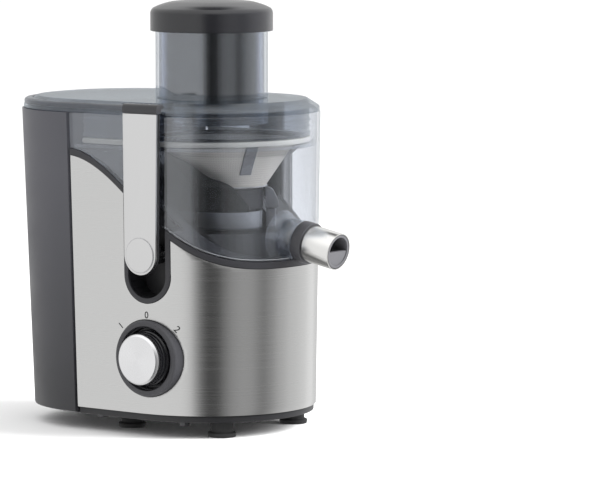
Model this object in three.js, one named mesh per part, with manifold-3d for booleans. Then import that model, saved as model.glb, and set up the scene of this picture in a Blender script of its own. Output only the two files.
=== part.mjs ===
// Centrifugal juicer: a motor base wrapped in brushed steel, a clear juice collector with a
// filter basket, a clear lid with a wide feed tube, a pusher, two locking arms and a pulp
// container. Millimetres, +Z up. The working frame has its origin on the feed tube's axis at
// floor level, the pulp container on -X, the spout on +X and the knob on -Y.
import * as THREE from 'three';
import { mergeVertices } from 'three/addons/utils/BufferGeometryUtils.js';
import Module from 'manifold-3d';

const wasm = await Module();
wasm.setup();

// ---- driving dimensions ------------------------------------------------------------------
const GAP = 0.4; // clearance between neighbouring pieces
const RADIUS = 79.5; // half depth of the body at the rim, and radius of its right end
const END_X = -2.6; // centre of the round right end
const LEFT_REACH = 144.9; // from that centre to the container's far end, at the rim
const FLAT_LEFT_X = -66; // where the straight sides end and the container's round end begins
const END_POWER = 2.3; // superellipse power of the container's round end
const RIM_Z = 228;
const BASE_Z = 16.5; // lower edge of the steel wrap
const DRAFT_ROUND = 0.039; // how much the body narrows from rim to base
const DRAFT_LEFT = 0.0656;
const SEAM_X = -66.8; // joint between body and pulp container, at the rim
const STEEL = 0.9;
const WALL = 2.6;
const FLOOR_Z = 11.6; // underside of the bottom cover
const TRIM_DROP = 4.6; // height of the trim band that edges the steel

const DRIVE_X = 15; // motor, basket and juice chamber axis
const WELL_Z = 124; // floor of the round well in the housing
const PLATEAU_Z = 142;
const PLATEAU_R = 42;
const CHAMBER_R = 45.4;
const MOUTH_R = 49.5;
const FLARE_R = 51.4; // outside of the chamber's flared rim
const SHELF_Z = 201.8; // underside of the collector's pulp shelf
const SHELF = 2.2;
const COLLECTOR_TOP = 226.2;

const CONE_LOW = { r: 26.6, z: 173.7 };
const CONE_HIGH = { r: 48.9, z: 206.6 };
const BASKET_RIM_R = 50.8;
const DRUM_R = 24.5;
const DRUM_Z = 157;

const SPOUT_END = { x: 112.1, z: 131.5 };
const SPOUT_TILT = THREE.MathUtils.degToRad(10.7);
const SPOUT_R = 13.1;
const COLLAR_R = 14.6;
const BOSS_R = 14;
const COLLAR_FROM = 23.8; // distances back from the spout's mouth
const COLLAR_TO = 32.3;

const LID_Z = 235;
const LID_CHAMFER = 9.3;
const LID_RIM_TOP = 229.4;
const LID_RIM_LOW = 226.6;
const LID_WALL = 2.4;
const SKIRT_INSET = 8.1;
const SKIRT_WALL = 1.8;
const SKIRT_LOW = 208.6;
const TUBE_R = 40;
const TUBE_BORE = 37.5;
const TUBE_LOW = 217;
const TUBE_TOP = 293;
const CUP_LOW = 218; // underside of the pusher's cup
const CAP_R = 43.7;
const CAP_LOW = 282.9;
const CAP_SIDE_TOP = 296.5;
const CAP_APEX = 305.5;

const FRONT_X = 2; // centre line of the front arm, its slot and the knob
const REAR_X = -13.4; // centre line of the rear arm and its slot
const ARM_BACK = 80.3; // distance of the arm's back from the mid plane
const ARM_FACE = 84.5;
const PIVOT_Y = 70;
const PIVOT_Z = 129.2;
const ARM_TOP = 228.2;
const ARM_HALF_TOP = 15.4;
const ARM_HALF_LOW = 14;
const HOOK_TOP = 234.8;
const HOOK_TIP = 76.6;
const HOOK_LOW = 232; // underside of the front hook where it passes over the lid
const REAR_HOOK_DROP = 0.8; // the rear hook sits lower, below the line of the lid's top
const REAR_HOOK_SLOPE = 1.4;
const SLOT_R = 15.6;
const SLOT_RIM = 19;
const SLOT_Z = 114; // centre of the slot's round lower end
const POCKET_DEPTH_Y = 60;
const PIN_R = 2.5;
const PIN_HALF = 17.5;
const DISC_R = 12.7; // round badge pressed on the arm's face over the pivot

const KNOB_Z = 56;
const BEZEL_R = 27.1;
const BEZEL_FRONT = 79.4;
const KNOB_R = 18;
const KNOB_FACE = 88;

const STATOR = { low: 62, high: 92, half: 30, bore: 21 };
const COIL_SEAT = { radius: 25, angle: Math.PI / 6 };
const COIL_LOW = 55.6;
const COIL_TOP = 98.4;
const BOLT_RADIUS = 33.2; // places of the long bolts, from the motor's axis
const POST_RADIUS = 33; // places of the posts that hang the motor
const BRACKET_TOP = 104;
const SHAFT_R = 4;
const SHAFT_BORE = 4.3;
const FIN_WIDTH = 6;
const FIN_TURN = 0.5;

const GLAND_R = 6;
const GLAND_X = -34;
const GLAND_Z = 34;
const TONGUE_HALF = 30;
const TONGUE_TIP_X = -98;
const TONGUE_FOOT_X = -112;
const TONGUE_LOW = 9;
const FOOT_R = 10;
const FOOT_STEM_R = 8;
const FEET = [
  ['foot_front_left', -40.2, -41.7],
  ['foot_front_right', 41.1, -41.7],
  ['foot_rear_left', -40.2, 41.7],
  ['foot_rear_right', 41.1, 41.7],
];
const SCREWS = [
  ['cover_screw_1', -50, -62],
  ['cover_screw_2', 24, -62],
  ['cover_screw_3', -50, 62],
  ['cover_screw_4', 24, 62],
];
const SKIN_INSET = STEEL + GAP; // outside of the plastic casing
const SEAM_GAP = GAP + 0.8;
const DECK_TOP = 214;
const LINER_R = SLOT_R + WALL;
const MACHINE_SHIFT = new THREE.Vector3(16.45, 1.5, 0); // puts the origin under the box's centre

// ---- materials ---------------------------------------------------------------------------
const finish = (color, roughness, metalness) => ({ color, roughness, metalness });
const BRUSHED_STEEL = finish(0xc4c4c2, 0.35, 1);
const ALUMINIUM = finish(0xd2d2d2, 0.4, 1);
const POLISHED = finish(0xdcdcda, 0.2, 1);
const BLACK = finish(0x1d1d20, 0.45, 0);
const GLOSS_BLACK = finish(0x141416, 0.12, 0);
const DARK_GREY = finish(0x46464b, 0.5, 0);
const SMOKE = finish(0x8d9097, 0.08, 0);
const RUBBER = finish(0x2a2a2c, 0.8, 0);
const BEIGE = finish(0xc9c2b4, 0.4, 0);
const COPPER = finish(0xa8632f, 0.4, 1);
const LAMINATION = finish(0x70737a, 0.5, 1);
const STEEL_PIN = finish(0x9a9c9f, 0.3, 1);

// ---- solids ------------------------------------------------------------------------------
function solid(geometry) {
  const bare = geometry.clone();
  for (const name of Object.keys(bare.attributes)) {
    if (name !== 'position') bare.deleteAttribute(name);
  }
  const merged = mergeVertices(bare, 1e-5);
  return new wasm.Manifold(new wasm.Mesh({
    numProp: 3,
    vertProperties: Float32Array.from(merged.attributes.position.array),
    triVerts: Uint32Array.from(merged.index.array),
  }));
}

function shapeOf(manifold) {
  const mesh = manifold.getMesh();
  const geometry = new THREE.BufferGeometry();
  geometry.setAttribute('position', new THREE.BufferAttribute(mesh.vertProperties, 3));
  geometry.setIndex(new THREE.BufferAttribute(mesh.triVerts, 1));
  geometry.computeVertexNormals();
  return geometry;
}

const join = (first, ...rest) => rest.reduce((sum, next) => sum.add(next), first);
const cut = (first, ...rest) => rest.reduce((sum, next) => sum.subtract(next), first);
const common = (first, ...rest) => rest.reduce((sum, next) => sum.intersect(next), first);

function piece(name, shape, look) {
  const geometry = shape.isBufferGeometry ? shape : shapeOf(shape);
  const mesh = new THREE.Mesh(geometry, new THREE.MeshStandardMaterial(look));
  mesh.name = name;
  return mesh;
}

// A box between two opposite corners.
function box(x0, x1, y0, y1, z0, z1) {
  const geometry = new THREE.BoxGeometry(x1 - x0, y1 - y0, z1 - z0);
  return geometry.translate((x0 + x1) / 2, (y0 + y1) / 2, (z0 + z1) / 2);
}

// A ring or disc about the vertical axis through (x, y), from [radius, z] points.
function turned(points, x = 0, y = 0, segments = 24) {
  const profile = points.map(([r, z]) => new THREE.Vector2(r, z));
  const geometry = new THREE.LatheGeometry(profile, segments);
  return geometry.rotateX(Math.PI / 2).translate(x, y, 0);
}

// A hollow or full cylinder standing on z0; profiles run anticlockwise so that faces point out.
function tube(outer, inner, z0, z1, x = 0, y = 0, segments = 24) {
  if (inner === 0) {
    return turned([[0, z0], [outer, z0], [outer, z1], [0, z1]], x, y, segments);
  }
  const ring = [[inner, z0], [outer, z0], [outer, z1], [inner, z1], [inner, z0]];
  return turned(ring, x, y, segments);
}

// A cylinder along Y from y0 to y1 about (x, z).
function rodY(radius, x, z, y0, y1, segments = 24) {
  const geometry = new THREE.CylinderGeometry(radius, radius, y1 - y0, segments);
  return geometry.translate(x, (y0 + y1) / 2, z);
}

// A cylinder along X from x0 to x1 about (y, z).
function rodX(radius, y, z, x0, x1, segments = 12) {
  const geometry = new THREE.CylinderGeometry(radius, radius, x1 - x0, segments);
  return geometry.rotateZ(Math.PI / 2).translate((x0 + x1) / 2, y, z);
}

function extruded(points, depth) {
  const shape = new THREE.Shape(points.map(([x, y]) => new THREE.Vector2(x, y)));
  return new THREE.ExtrudeGeometry(shape, { depth, bevelEnabled: false, steps: 1 });
}

// An outline in X and Z, extruded along Y from y0 to y1.
function sideways(points, y0, y1) {
  return extruded(points, y1 - y0).rotateX(Math.PI / 2).translate(0, y1, 0);
}

// An outline in Y and Z, extruded along X from x0 to x1.
function lengthways(points, x0, x1) {
  const geometry = extruded(points, x1 - x0);
  return geometry.rotateX(Math.PI / 2).rotateZ(Math.PI / 2).translate(x0, 0, 0);
}

// ---- the body's outline ------------------------------------------------------------------
function bodyOutline() {
  const points = [];
  const roundSteps = 20;
  for (let i = 0; i <= roundSteps; i += 1) {
    const angle = -Math.PI / 2 + (Math.PI * i) / roundSteps;
    points.push([END_X + RADIUS * Math.cos(angle), RADIUS * Math.sin(angle)]);
  }
  const leftSteps = 16;
  for (let i = 0; i <= leftSteps; i += 1) {
    const angle = Math.PI / 2 + (Math.PI * i) / leftSteps;
    const c = Math.cos(angle);
    const s = Math.sin(angle);
    const x = FLAT_LEFT_X - endReach() * Math.abs(c) ** (2 / END_POWER);
    points.push([x, RADIUS * Math.sign(s) * Math.abs(s) ** (2 / END_POWER)]);
  }
  return points;
}

function endReach() {
  return LEFT_REACH - (END_X - FLAT_LEFT_X);
}

// The body's outline extruded from z0 to z1, pulled in by inset and narrowed towards the base.
function bodyBlock(inset, z0, z1, insetTop = inset) {
  const geometry = extruded(bodyOutline(), z1 - z0).translate(0, 0, z0);
  return narrowed(geometry, (z) => inset + ((insetTop - inset) * (z - z0)) / (z1 - z0));
}

function narrowed(geometry, insetAt = () => 0) {
  const position = geometry.attributes.position;
  for (let i = 0; i < position.count; i += 1) {
    const x = position.getX(i) - END_X;
    const z = position.getZ(i);
    const inset = insetAt(z);
    const low = (RIM_Z - Math.min(z, RIM_Z)) / (RIM_Z - BASE_Z);
    const round = (1 - inset / RADIUS) * (1 - DRAFT_ROUND * low);
    const left = (1 - inset / LEFT_REACH) * (1 - DRAFT_LEFT * low);
    position.setX(i, END_X + x * (x < 0 ? left : round));
    position.setY(i, position.getY(i) * round);
  }
  geometry.computeVertexNormals();
  return geometry;
}

// Everything right of the seam, shifted by a distance, as a block that leans like the body.
function rightOfSeam(shift, z0 = 0, z1 = 260) {
  return solid(narrowed(box(SEAM_X + shift, 140, -140, 140, z0, z1)));
}

function leftOfSeam(shift, z0 = 0, z1 = 260) {
  return solid(narrowed(box(-220, SEAM_X + shift, -140, 140, z0, z1)));
}

function bodyShell(outer, inner, z0, z1) {
  return cut(solid(bodyBlock(outer, z0, z1)), solid(bodyBlock(inner, z0 - 1, z1 + 1)));
}

// ---- the wave that parts the steel from the clear collector -------------------------------
function wavePoints(offset) {
  const wave = new THREE.CubicBezierCurve(
    new THREE.Vector2(-66, 201),
    new THREE.Vector2(-20, 197),
    new THREE.Vector2(18, 126),
    new THREE.Vector2(72, 124),
  );
  const points = wave.getPoints(12).map((p) => [p.x, p.y + offset]);
  return [[-170, 201 + offset], ...points, [120, 124 + offset]];
}

function belowWave(offset) {
  return solid(sideways([...wavePoints(offset), [120, -20], [-170, -20]], -120, 120));
}

function aboveWave(offset) {
  return solid(sideways([...wavePoints(offset), [120, 330], [-170, 330]], -120, 120));
}

// An upright slot with a round lower end, cut along Y.
function slotBlock(radius, y0, y1, top) {
  const middle = y0 < 0 ? FRONT_X : REAR_X;
  const points = [[middle + radius, top], [middle - radius, top]];
  const steps = 10;
  for (let i = 0; i <= steps; i += 1) {
    const angle = Math.PI + (Math.PI * i) / steps;
    points.push([middle + radius * Math.cos(angle), SLOT_Z + radius * Math.sin(angle)]);
  }
  return solid(sideways(points, y0, y1));
}

function slotPair(radius, near, far, top) {
  return join(slotBlock(radius, -far, -near, top), slotBlock(radius, near, far, top));
}

// ---- body --------------------------------------------------------------------------------
function steelWrap() {
  const skin = bodyShell(0, STEEL, BASE_Z, 210);
  const sheet = common(skin, belowWave(-TRIM_DROP - GAP), rightOfSeam(GAP));
  const knobHole = solid(rodY(BEZEL_R + GAP, FRONT_X, KNOB_Z, -100, -40));
  const glandHole = solid(rodY(GLAND_R + 0.6, GLAND_X, GLAND_Z, 40, 100, 14));
  return cut(sheet, slotPair(SLOT_RIM + GAP, 40, 100, 230), knobHole, glandHole);
}

function waveTrim() {
  const skin = common(bodyShell(-0.5, STEEL, 60, 214), belowWave(0), rightOfSeam(GAP));
  const band = common(skin, aboveWave(-TRIM_DROP));
  const rims = common(skin, slotPair(SLOT_RIM, 40, 100, 214));
  return cut(join(band, rims), slotPair(SLOT_R, 40, 100, 214));
}

// The casing's upright wall, open above and below, with bosses for the cover's screws.
function housing() {
  const low = BASE_Z + GAP;
  const outside = common(
    solid(bodyBlock(SKIN_INSET, low, DECK_TOP)),
    belowWave(0),
    rightOfSeam(SEAM_GAP),
  );
  const inside = common(
    solid(bodyBlock(SKIN_INSET + WALL, low - 1, DECK_TOP + 1)),
    rightOfSeam(SEAM_GAP + WALL),
  );
  const knobHole = solid(rodY(BEZEL_R + GAP, FRONT_X, KNOB_Z, -100, -50));
  const glandHole = solid(rodY(GLAND_R + 0.6, GLAND_X, GLAND_Z, 50, 100, 14));
  const screwHoles = SCREWS.map(([, x, y]) => solid(tube(1.7, 0, 0, 40, x, y, 8)));
  return cut(
    join(cut(outside, inside), ...screwBosses(SKIN_INSET + WALL)),
    slotPair(LINER_R + GAP, POCKET_DEPTH_Y, 100, 230),
    knobHole,
    glandHole,
    ...screwHoles,
  );
}

// The casing's roof, which follows the wave, with the round well and the plateau that carries
// the motor below it and the drive coupling above it.
function motorDeck() {
  const inset = SKIN_INSET + WALL + GAP;
  const edge = common(solid(bodyBlock(inset, WELL_Z - WALL, DECK_TOP)), rightOfSeam(SEAM_GAP + WALL + GAP));
  const roof = common(edge, belowWave(0), aboveWave(-WALL));
  const wellOuter = common(
    solid(tube(49.1, 0, WELL_Z - WALL, 210, DRIVE_X, 0, 28)),
    belowWave(0),
    edge,
  );
  const wellInner = solid(tube(46.5, 0, WELL_Z, 215, DRIVE_X, 0, 28));
  const plateau = solid(turned([
    [0, WELL_Z - 1],
    [PLATEAU_R, WELL_Z - 1],
    [PLATEAU_R - 3.4, PLATEAU_Z],
    [0, PLATEAU_Z],
  ], DRIVE_X, 0, 48));
  const underPlateau = solid(turned([
    [0, WELL_Z - 10],
    [PLATEAU_R - 2.4, WELL_Z - 10],
    [PLATEAU_R - 5.6, PLATEAU_Z - WALL],
    [0, PLATEAU_Z - WALL],
  ], DRIVE_X, 0, 48));
  const dish = cut(join(cut(join(roof, wellOuter), wellInner), plateau), underPlateau);
  const shaftHole = solid(tube(7, 0, WELL_Z, PLATEAU_Z + 5, DRIVE_X, 0, 24));
  return cut(
    join(dish, ...motorPosts()),
    shaftHole,
    slotPair(LINER_R + GAP, POCKET_DEPTH_Y - WALL - GAP, 100, 230),
  );
}

// The pocket behind a slot, where the lower end of an arm swings on its pin.
function slotLiner(side) {
  const keep = common(solid(bodyBlock(SKIN_INSET, BASE_Z + GAP, DECK_TOP)), belowWave(0));
  const near = POCKET_DEPTH_Y;
  const [y0, y1] = side < 0 ? [-100, -near] : [near, 100];
  const [back0, back1] = side < 0 ? [-100, -near + WALL] : [near - WALL, 100];
  const block = common(slotBlock(LINER_R, back0, back1, 214), keep);
  const reach = PIN_HALF + GAP;
  const middle = side < 0 ? FRONT_X : REAR_X;
  const pinHole = rodX(PIN_R + 0.3, side * PIVOT_Y, PIVOT_Z, middle - reach, middle + reach);
  return cut(block, slotBlock(SLOT_R, y0, y1, 230), solid(pinHole));
}

// Bosses that take the cover screws, tied to the wall by a rib.
function screwBosses(innerInset) {
  const room = solid(bodyBlock(innerInset - 1, BASE_Z + GAP, 100));
  return SCREWS.map(([, x, y]) => {
    const boss = solid(tube(4.6, 0, BASE_Z + GAP, 52, x, y, 10));
    const outward = y * 1.35;
    const rib = box(x - 1.2, x + 1.2, Math.min(y, outward), Math.max(y, outward), BASE_Z + GAP, 52);
    return common(join(boss, solid(rib)), room);
  });
}

// Posts that hang the motor from the plateau.
function postPlaces() {
  return [0, 1, 2, 3].map((i) => {
    const angle = Math.PI / 4 + (i * Math.PI) / 2;
    return [DRIVE_X + POST_RADIUS * Math.cos(angle), POST_RADIUS * Math.sin(angle)];
  });
}

function motorPosts() {
  return postPlaces().map(([x, y]) => solid(tube(4, 0, BRACKET_TOP + GAP, PLATEAU_Z - 1, x, y, 8)));
}

function bottomCover() {
  const inset = 1.6;
  const plate = common(solid(bodyBlock(inset, FLOOR_Z, 16.2)), rightOfSeam(GAP));
  const hollow = common(solid(bodyBlock(inset + 2.4, 14.2, 20)), rightOfSeam(GAP + 2.4));
  const tongue = join(
    solid(box(TONGUE_TIP_X, -50, -TONGUE_HALF, TONGUE_HALF, TONGUE_LOW, FLOOR_Z)),
    solid(box(-58, -50, -TONGUE_HALF, TONGUE_HALF, TONGUE_LOW, 13)),
    solid(tube(TONGUE_HALF, 0, TONGUE_LOW, FLOOR_Z, TONGUE_TIP_X, 0, 40)),
  );
  const vents = [];
  for (let i = -3; i <= 3; i += 1) {
    vents.push(solid(box(DRIVE_X - 18, DRIVE_X + 18, i * 8 - 1.6, i * 8 + 1.6, 0, 30)));
  }
  const screwHoles = SCREWS.map(([, x, y]) => solid(tube(2.2, 0, 0, 30, x, y, 8)));
  return cut(join(cut(plate, hollow), tongue), ...vents, ...screwHoles);
}

function foot() {
  const top = FLOOR_Z - GAP;
  return turned([
    [0, 0],
    [FOOT_R, 0],
    [FOOT_R, 3],
    [FOOT_STEM_R, 3.8],
    [FOOT_STEM_R, top],
    [0, top],
  ], 0, 0, 20);
}

function coverScrew() {
  return turned([
    [0, 8.8],
    [3.8, 8.8],
    [3.8, 11.2],
    [1.4, 11.2],
    [1.4, 30],
    [0, 31.4],
  ], 0, 0, 10);
}

// ---- mains entry and controls --------------------------------------------------------------
function cordGland() {
  // Turned about Z, then laid along +Y: a flange outside, a neck through the wall, a clamp inside.
  const profile = [
    [2.6, 0], [9, 0], [9, 6], [GLAND_R, 6], [GLAND_R, 13],
    [8.4, 13], [7.4, 16], [4.6, 17.5], [2.6, 17.5], [2.6, 0],
  ];
  return turned(profile, 0, 0, 14).rotateX(-Math.PI / 2);
}

function knobBezel() {
  const ring = [
    [4, 0], [BEZEL_R, 0], [BEZEL_R, 9.6], [BEZEL_R - 1.2, 11], [BEZEL_R - 3.2, 11],
    [BEZEL_R - 4.4, 9.6], [BEZEL_R - 4.4, 2.6], [4, 2.6], [4, 0],
  ];
  return turned(ring, 0, 0, 24);
}

function knobBody() {
  return turned([
    [0, 0], [19.4, 0], [19.8, 0.6], [19.8, 1.8], [KNOB_R, 2.6], [KNOB_R - 0.2, 11], [0, 11],
  ], 0, 0, 24);
}

function knobCap() {
  return turned([[0, 0], [KNOB_R - 0.1, 0], [KNOB_R - 0.1, 3.2], [KNOB_R - 1.8, 5], [0, 5]], 0, 0, 24);
}

function speedSwitch() {
  const can = solid(box(-15, 15, -15, 15, 0, 22));
  const neck = solid(tube(3.6, 0, 21, 26.5, 0, 0, 16));
  const bore = solid(tube(2.2, 0, 15, 28, 0, 0, 16));
  const tabs = [-9, 0, 9].map((x) => solid(box(x - 2.4, x + 2.4, -0.5, 0.5, -7, 1)));
  return cut(join(can, neck, ...tabs), bore);
}

function interlockSwitch() {
  const can = solid(box(-10, 10, -3.2, 3.2, 0, 16));
  const lever = solid(box(-7, 8, -1.6, 1.6, 15, 18.4));
  return join(can, lever);
}

// ---- motor -------------------------------------------------------------------------------
function statorCore() {
  const { half, low, high } = STATOR;
  const through = (radius, x, y, segments) => solid(tube(radius, 0, low - 1, high + 1, x, y, segments));
  const block = solid(box(-half, half, -half, half, low, high));
  const round = through(half * 1.24, 0, 0, 24);
  const bore = through(STATOR.bore, 0, 0, 24);
  const seats = coilSeats(1).concat(coilSeats(-1)).map(([x, y]) => through(4, x, y, 14));
  const boltHoles = boltPlaces().map(([x, y]) => through(3, x, y, 12));
  return cut(common(block, round), bore, ...seats, ...boltHoles);
}

// The long bolts that clamp the stator between its two brackets.
function boltPlaces() {
  return [0, 1, 2, 3].map((i) => {
    const angle = Math.PI / 4 + (i * Math.PI) / 2;
    return [BOLT_RADIUS * Math.cos(angle), BOLT_RADIUS * Math.sin(angle)];
  });
}

function coilSeats(side) {
  const x = COIL_SEAT.radius * Math.cos(COIL_SEAT.angle);
  const y = side * COIL_SEAT.radius * Math.sin(COIL_SEAT.angle);
  return [[x, y], [-x, y]];
}

// One saddle coil: an arc above the stator, an arc below it, and two legs through it.
function fieldCoil(side) {
  const legs = coilSeats(side).map(([x, y]) => solid(tube(3.3, 0, 58, 96, x, y, 12)));
  const reach = COIL_SEAT.radius * Math.sin(COIL_SEAT.angle) - 4.1;
  const sector = solid(side > 0 ? box(-40, 40, reach, 40, 0, 140) : box(-40, 40, -40, -reach, 0, 140));
  const levels = [[COIL_LOW, STATOR.low - GAP], [STATOR.high + GAP, COIL_TOP]];
  const arcs = levels.map(([low, high]) => common(solid(tube(28.6, 21.8, low, high, 0, 0, 24)), sector));
  return join(arcs[0], arcs[1], ...legs);
}

function upperBracket() {
  const plate = solid(tube(38.5, 8.3, 100, BRACKET_TOP, 0, 0, 24));
  const windows = [[21, 0], [0, 21], [-21, 0], [0, -21]].map(([x, y]) => solid(
    tube(7.4, 0, 96, 110, x, y, 12),
  ));
  return cut(plate, ...windows);
}

function lowerBracket() {
  const plate = solid(tube(36, 4.4, 20, 23.4, 0, 0, 24));
  const bolts = boltPlaces().map(([x, y]) => solid(tube(2.6, 0, 22, 99.6, x, y, 12)));
  return join(plate, ...bolts);
}

function bearing(z0) {
  return tube(8, SHAFT_BORE, z0, z0 + 5, 0, 0, 16);
}

function brushHolder(side) {
  const holder = solid(box(12.2, 29, -4.6, 4.6, 45.6, 54.4));
  const brush = solid(box(10.6, 14, -3, 3, 47, 53));
  const body = join(holder, brush);
  return side > 0 ? body : body.mirror([1, 0, 0]);
}

function motorShaft() {
  return turned([
    [0, 21],
    [SHAFT_R - 0.4, 21],
    [SHAFT_R, 21.6],
    [SHAFT_R, 148.6],
    [SHAFT_R - 0.6, 149.4],
    [0, 149.4],
  ], 0, 0, 14);
}

function armatureCore() {
  const steps = 12;
  const points = [];
  for (let i = 0; i < steps; i += 1) {
    const mid = (2 * Math.PI * i) / steps;
    const edge = (Math.PI / steps) * 0.78;
    const tooth = [[15, -1.05], [20, -1], [20.2, 0], [20, 1], [15, 1.05]];
    for (const [radius, share] of tooth) {
      const angle = mid + edge * share;
      points.push([radius * Math.cos(angle), radius * Math.sin(angle)]);
    }
  }
  const core = solid(extruded(points, 34).translate(0, 0, 60));
  return cut(core, solid(tube(SHAFT_BORE, 0, 50, 100, 0, 0, 20)));
}

function commutator() {
  return tube(10.2, SHAFT_BORE, 44, 56, 0, 0, 16);
}

function coolingFan() {
  const disc = solid(tube(29, SHAFT_BORE, 31, 33, 0, 0, 32));
  const hub = solid(tube(9, SHAFT_BORE, 31, 41, 0, 0, 20));
  const blades = [];
  for (let i = 0; i < 8; i += 1) {
    const blade = box(8, 28, -0.8, 0.8, 32, 41);
    blades.push(solid(blade.rotateZ((2 * Math.PI * i) / 8)));
  }
  return cut(join(disc, hub, ...blades), solid(tube(SHAFT_BORE, 0, 20, 60, 0, 0, 20)));
}

function driveCoupling() {
  const lobes = 6;
  const points = [];
  for (let i = 0; i < lobes * 4; i += 1) {
    const angle = (2 * Math.PI * i) / (lobes * 4);
    const r = i % 4 < 2 ? 9.4 : 7.8;
    points.push([r * Math.cos(angle), r * Math.sin(angle)]);
  }
  const crown = solid(extruded(points, 8.6).translate(0, 0, 146.2));
  const neck = solid(tube(6.4, 0, 136, 146.4, 0, 0, 24));
  return cut(join(crown, neck), solid(tube(SHAFT_BORE, 0, 130, 149.8, 0, 0, 20)));
}

// ---- collector, spout and basket -----------------------------------------------------------
function spoutLocal(geometry) {
  // Turned about Z with the mouth at z = 0 and the run back into the machine on +z.
  return geometry.rotateY(-Math.PI / 2 + SPOUT_TILT).translate(SPOUT_END.x, 0, SPOUT_END.z);
}

// The clear outer wall, with the shelf that leads pulp over to the container.
function collector() {
  const reach = rightOfSeam(GAP);
  const wall = common(bodyShell(0, 2.4, 118, COLLECTOR_TOP), aboveWave(GAP), reach);
  const shelf = common(solid(bodyBlock(0, SHELF_Z, SHELF_Z + SHELF)), reach);
  const chamberHole = solid(tube(FLARE_R + 0.3, 0, SHELF_Z - 5, SHELF_Z + 8, DRIVE_X, 0, 32));
  const bossHole = common(
    solid(spoutLocal(tube(BOSS_R + GAP, 0, 20, 70, 0, 0, 32))),
    solid(box(DRIVE_X + 50, 140, -40, 40, 100, 180)),
  );
  return cut(join(wall, cut(shelf, chamberHole)), bossHole);
}

// The cup that catches the juice round the basket, with the boss that leads to the spout.
function juiceChamber() {
  const skirtR = CHAMBER_R - 2;
  const floor = PLATEAU_Z + GAP;
  const cup = solid(turned([
    [21.4, floor], [skirtR, floor], [skirtR, 126.4], [CHAMBER_R, 126.4], [CHAMBER_R, 196.4],
    [FLARE_R, SHELF_Z], [FLARE_R, SHELF_Z + SHELF], [MOUTH_R, SHELF_Z + SHELF], [43.8, 195.6],
    [43.8, floor + 2], [23.4, floor + 2], [23.4, 155.4], [21.4, 155.4], [21.4, floor],
  ], DRIVE_X, 0, 32));
  const outsideCup = cut(
    solid(box(DRIVE_X + 20, 120, -40, 40, 100, 180)),
    solid(tube(CHAMBER_R - 1, 0, 100, 180, DRIVE_X, 0, 32)),
  );
  const boss = common(solid(spoutLocal(tube(BOSS_R, 0, COLLAR_TO + GAP, 60, 0, 0, 32))), outsideCup);
  const bore = common(
    solid(spoutLocal(tube(10.6, 0, 20, 60, 0, 0, 32))),
    solid(box(DRIVE_X + CHAMBER_R + 1, 130, -40, 40, 100, 180)),
  );
  const window = solid(box(DRIVE_X + 38, DRIVE_X + CHAMBER_R + 3, -7, 7, floor + 2, 151));
  return cut(join(cup, boss), bore, window);
}

function spoutSleeve() {
  return tube(SPOUT_R, 12.35, 0, COLLAR_FROM - 0.3, 0, 0, 28);
}

// The rotating inner tube: half of its mouth is closed, so turning it stops the drip.
function spoutInsert() {
  const pipe = solid(tube(12, 10.2, 0, 31, 0, 0, 28));
  const plug = common(solid(tube(11, 0, 0.4, 3, 0, 0, 28)), solid(box(-20, -1, -20, 20, -1, 8)));
  return join(pipe, plug);
}

function spoutCollar() {
  return tube(COLLAR_R, 12.4, COLLAR_FROM, COLLAR_TO, 0, 0, 28);
}

function basketMesh() {
  const t = 1;
  return turned([
    [CONE_LOW.r - t - 0.6, CONE_LOW.z], [CONE_LOW.r, CONE_LOW.z], [CONE_HIGH.r, CONE_HIGH.z],
    [CONE_HIGH.r - t - 0.2, CONE_HIGH.z], [CONE_LOW.r - t - 0.6, CONE_LOW.z],
  ], 0, 0, 32);
}

// Moulded frame: the drum with the drive socket, the rim ring and three fins up the cone.
function basketFrame() {
  const drum = solid(turned([
    [0, DRUM_Z + 2], [18, DRUM_Z + 2], [18, DRUM_Z], [DRUM_R, DRUM_Z],
    [DRUM_R, 171.6], [CONE_LOW.r + 0.8, 173], [0, 173],
  ], 0, 0, 24));
  const socket = solid(tube(14, 0, 147.4, DRUM_Z + 3, 0, 0, 24));
  const socketBore = solid(tube(10, 0, 140, 155.6, 0, 0, 24));
  const slope = (CONE_HIGH.r - CONE_LOW.r) / (CONE_HIGH.z - CONE_LOW.z);
  const rAt = (z) => CONE_LOW.r + slope * (z - CONE_LOW.z) + GAP;
  const rimLow = SHELF_Z + SHELF + 0.7;
  const finOutline = [
    [25.5, 171.8], [rAt(171.8) + 1, 171.8], [rAt(204) + 1, 204], [50.2, 205], [50.2, 206.4],
    [rAt(206.4), 206.4], [rAt(172.4), 172.4],
  ];
  const fins = [0, 1, 2].map((i) => {
    const fin = extruded(finOutline, FIN_WIDTH).translate(0, 0, -FIN_WIDTH / 2).rotateX(Math.PI / 2);
    return solid(fin.rotateZ((2 * Math.PI * i) / 3 + FIN_TURN));
  });
  const ring = solid(turned([
    [49.4, rimLow], [BASKET_RIM_R, rimLow], [BASKET_RIM_R, 209.4], [47.2, 209.4],
    [47.2, 207.1], [49.4, 207.1], [49.4, rimLow],
  ], 0, 0, 28));
  return cut(join(drum, socket, ring, ...fins), socketBore);
}

function graterDisc() {
  const plate = solid(turned([
    [0, 173.5], [24.4, 173.5], [24.4, 174.9], [6.5, 174.9], [5.2, 178], [0, 179],
  ], 0, 0, 24));
  const teeth = [];
  for (let ring = 0; ring < 2; ring += 1) {
    const count = ring === 0 ? 5 : 9;
    for (let i = 0; i < count; i += 1) {
      const tooth = box(-0.5, 0.5, -1.1, 1.1, 174.5, 177);
      tooth.rotateZ(0.5).translate(ring === 0 ? 12 : 20, 0, 0).rotateZ((2 * Math.PI * i) / count);
      teeth.push(solid(tooth));
    }
  }
  return join(plate, ...teeth);
}

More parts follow.
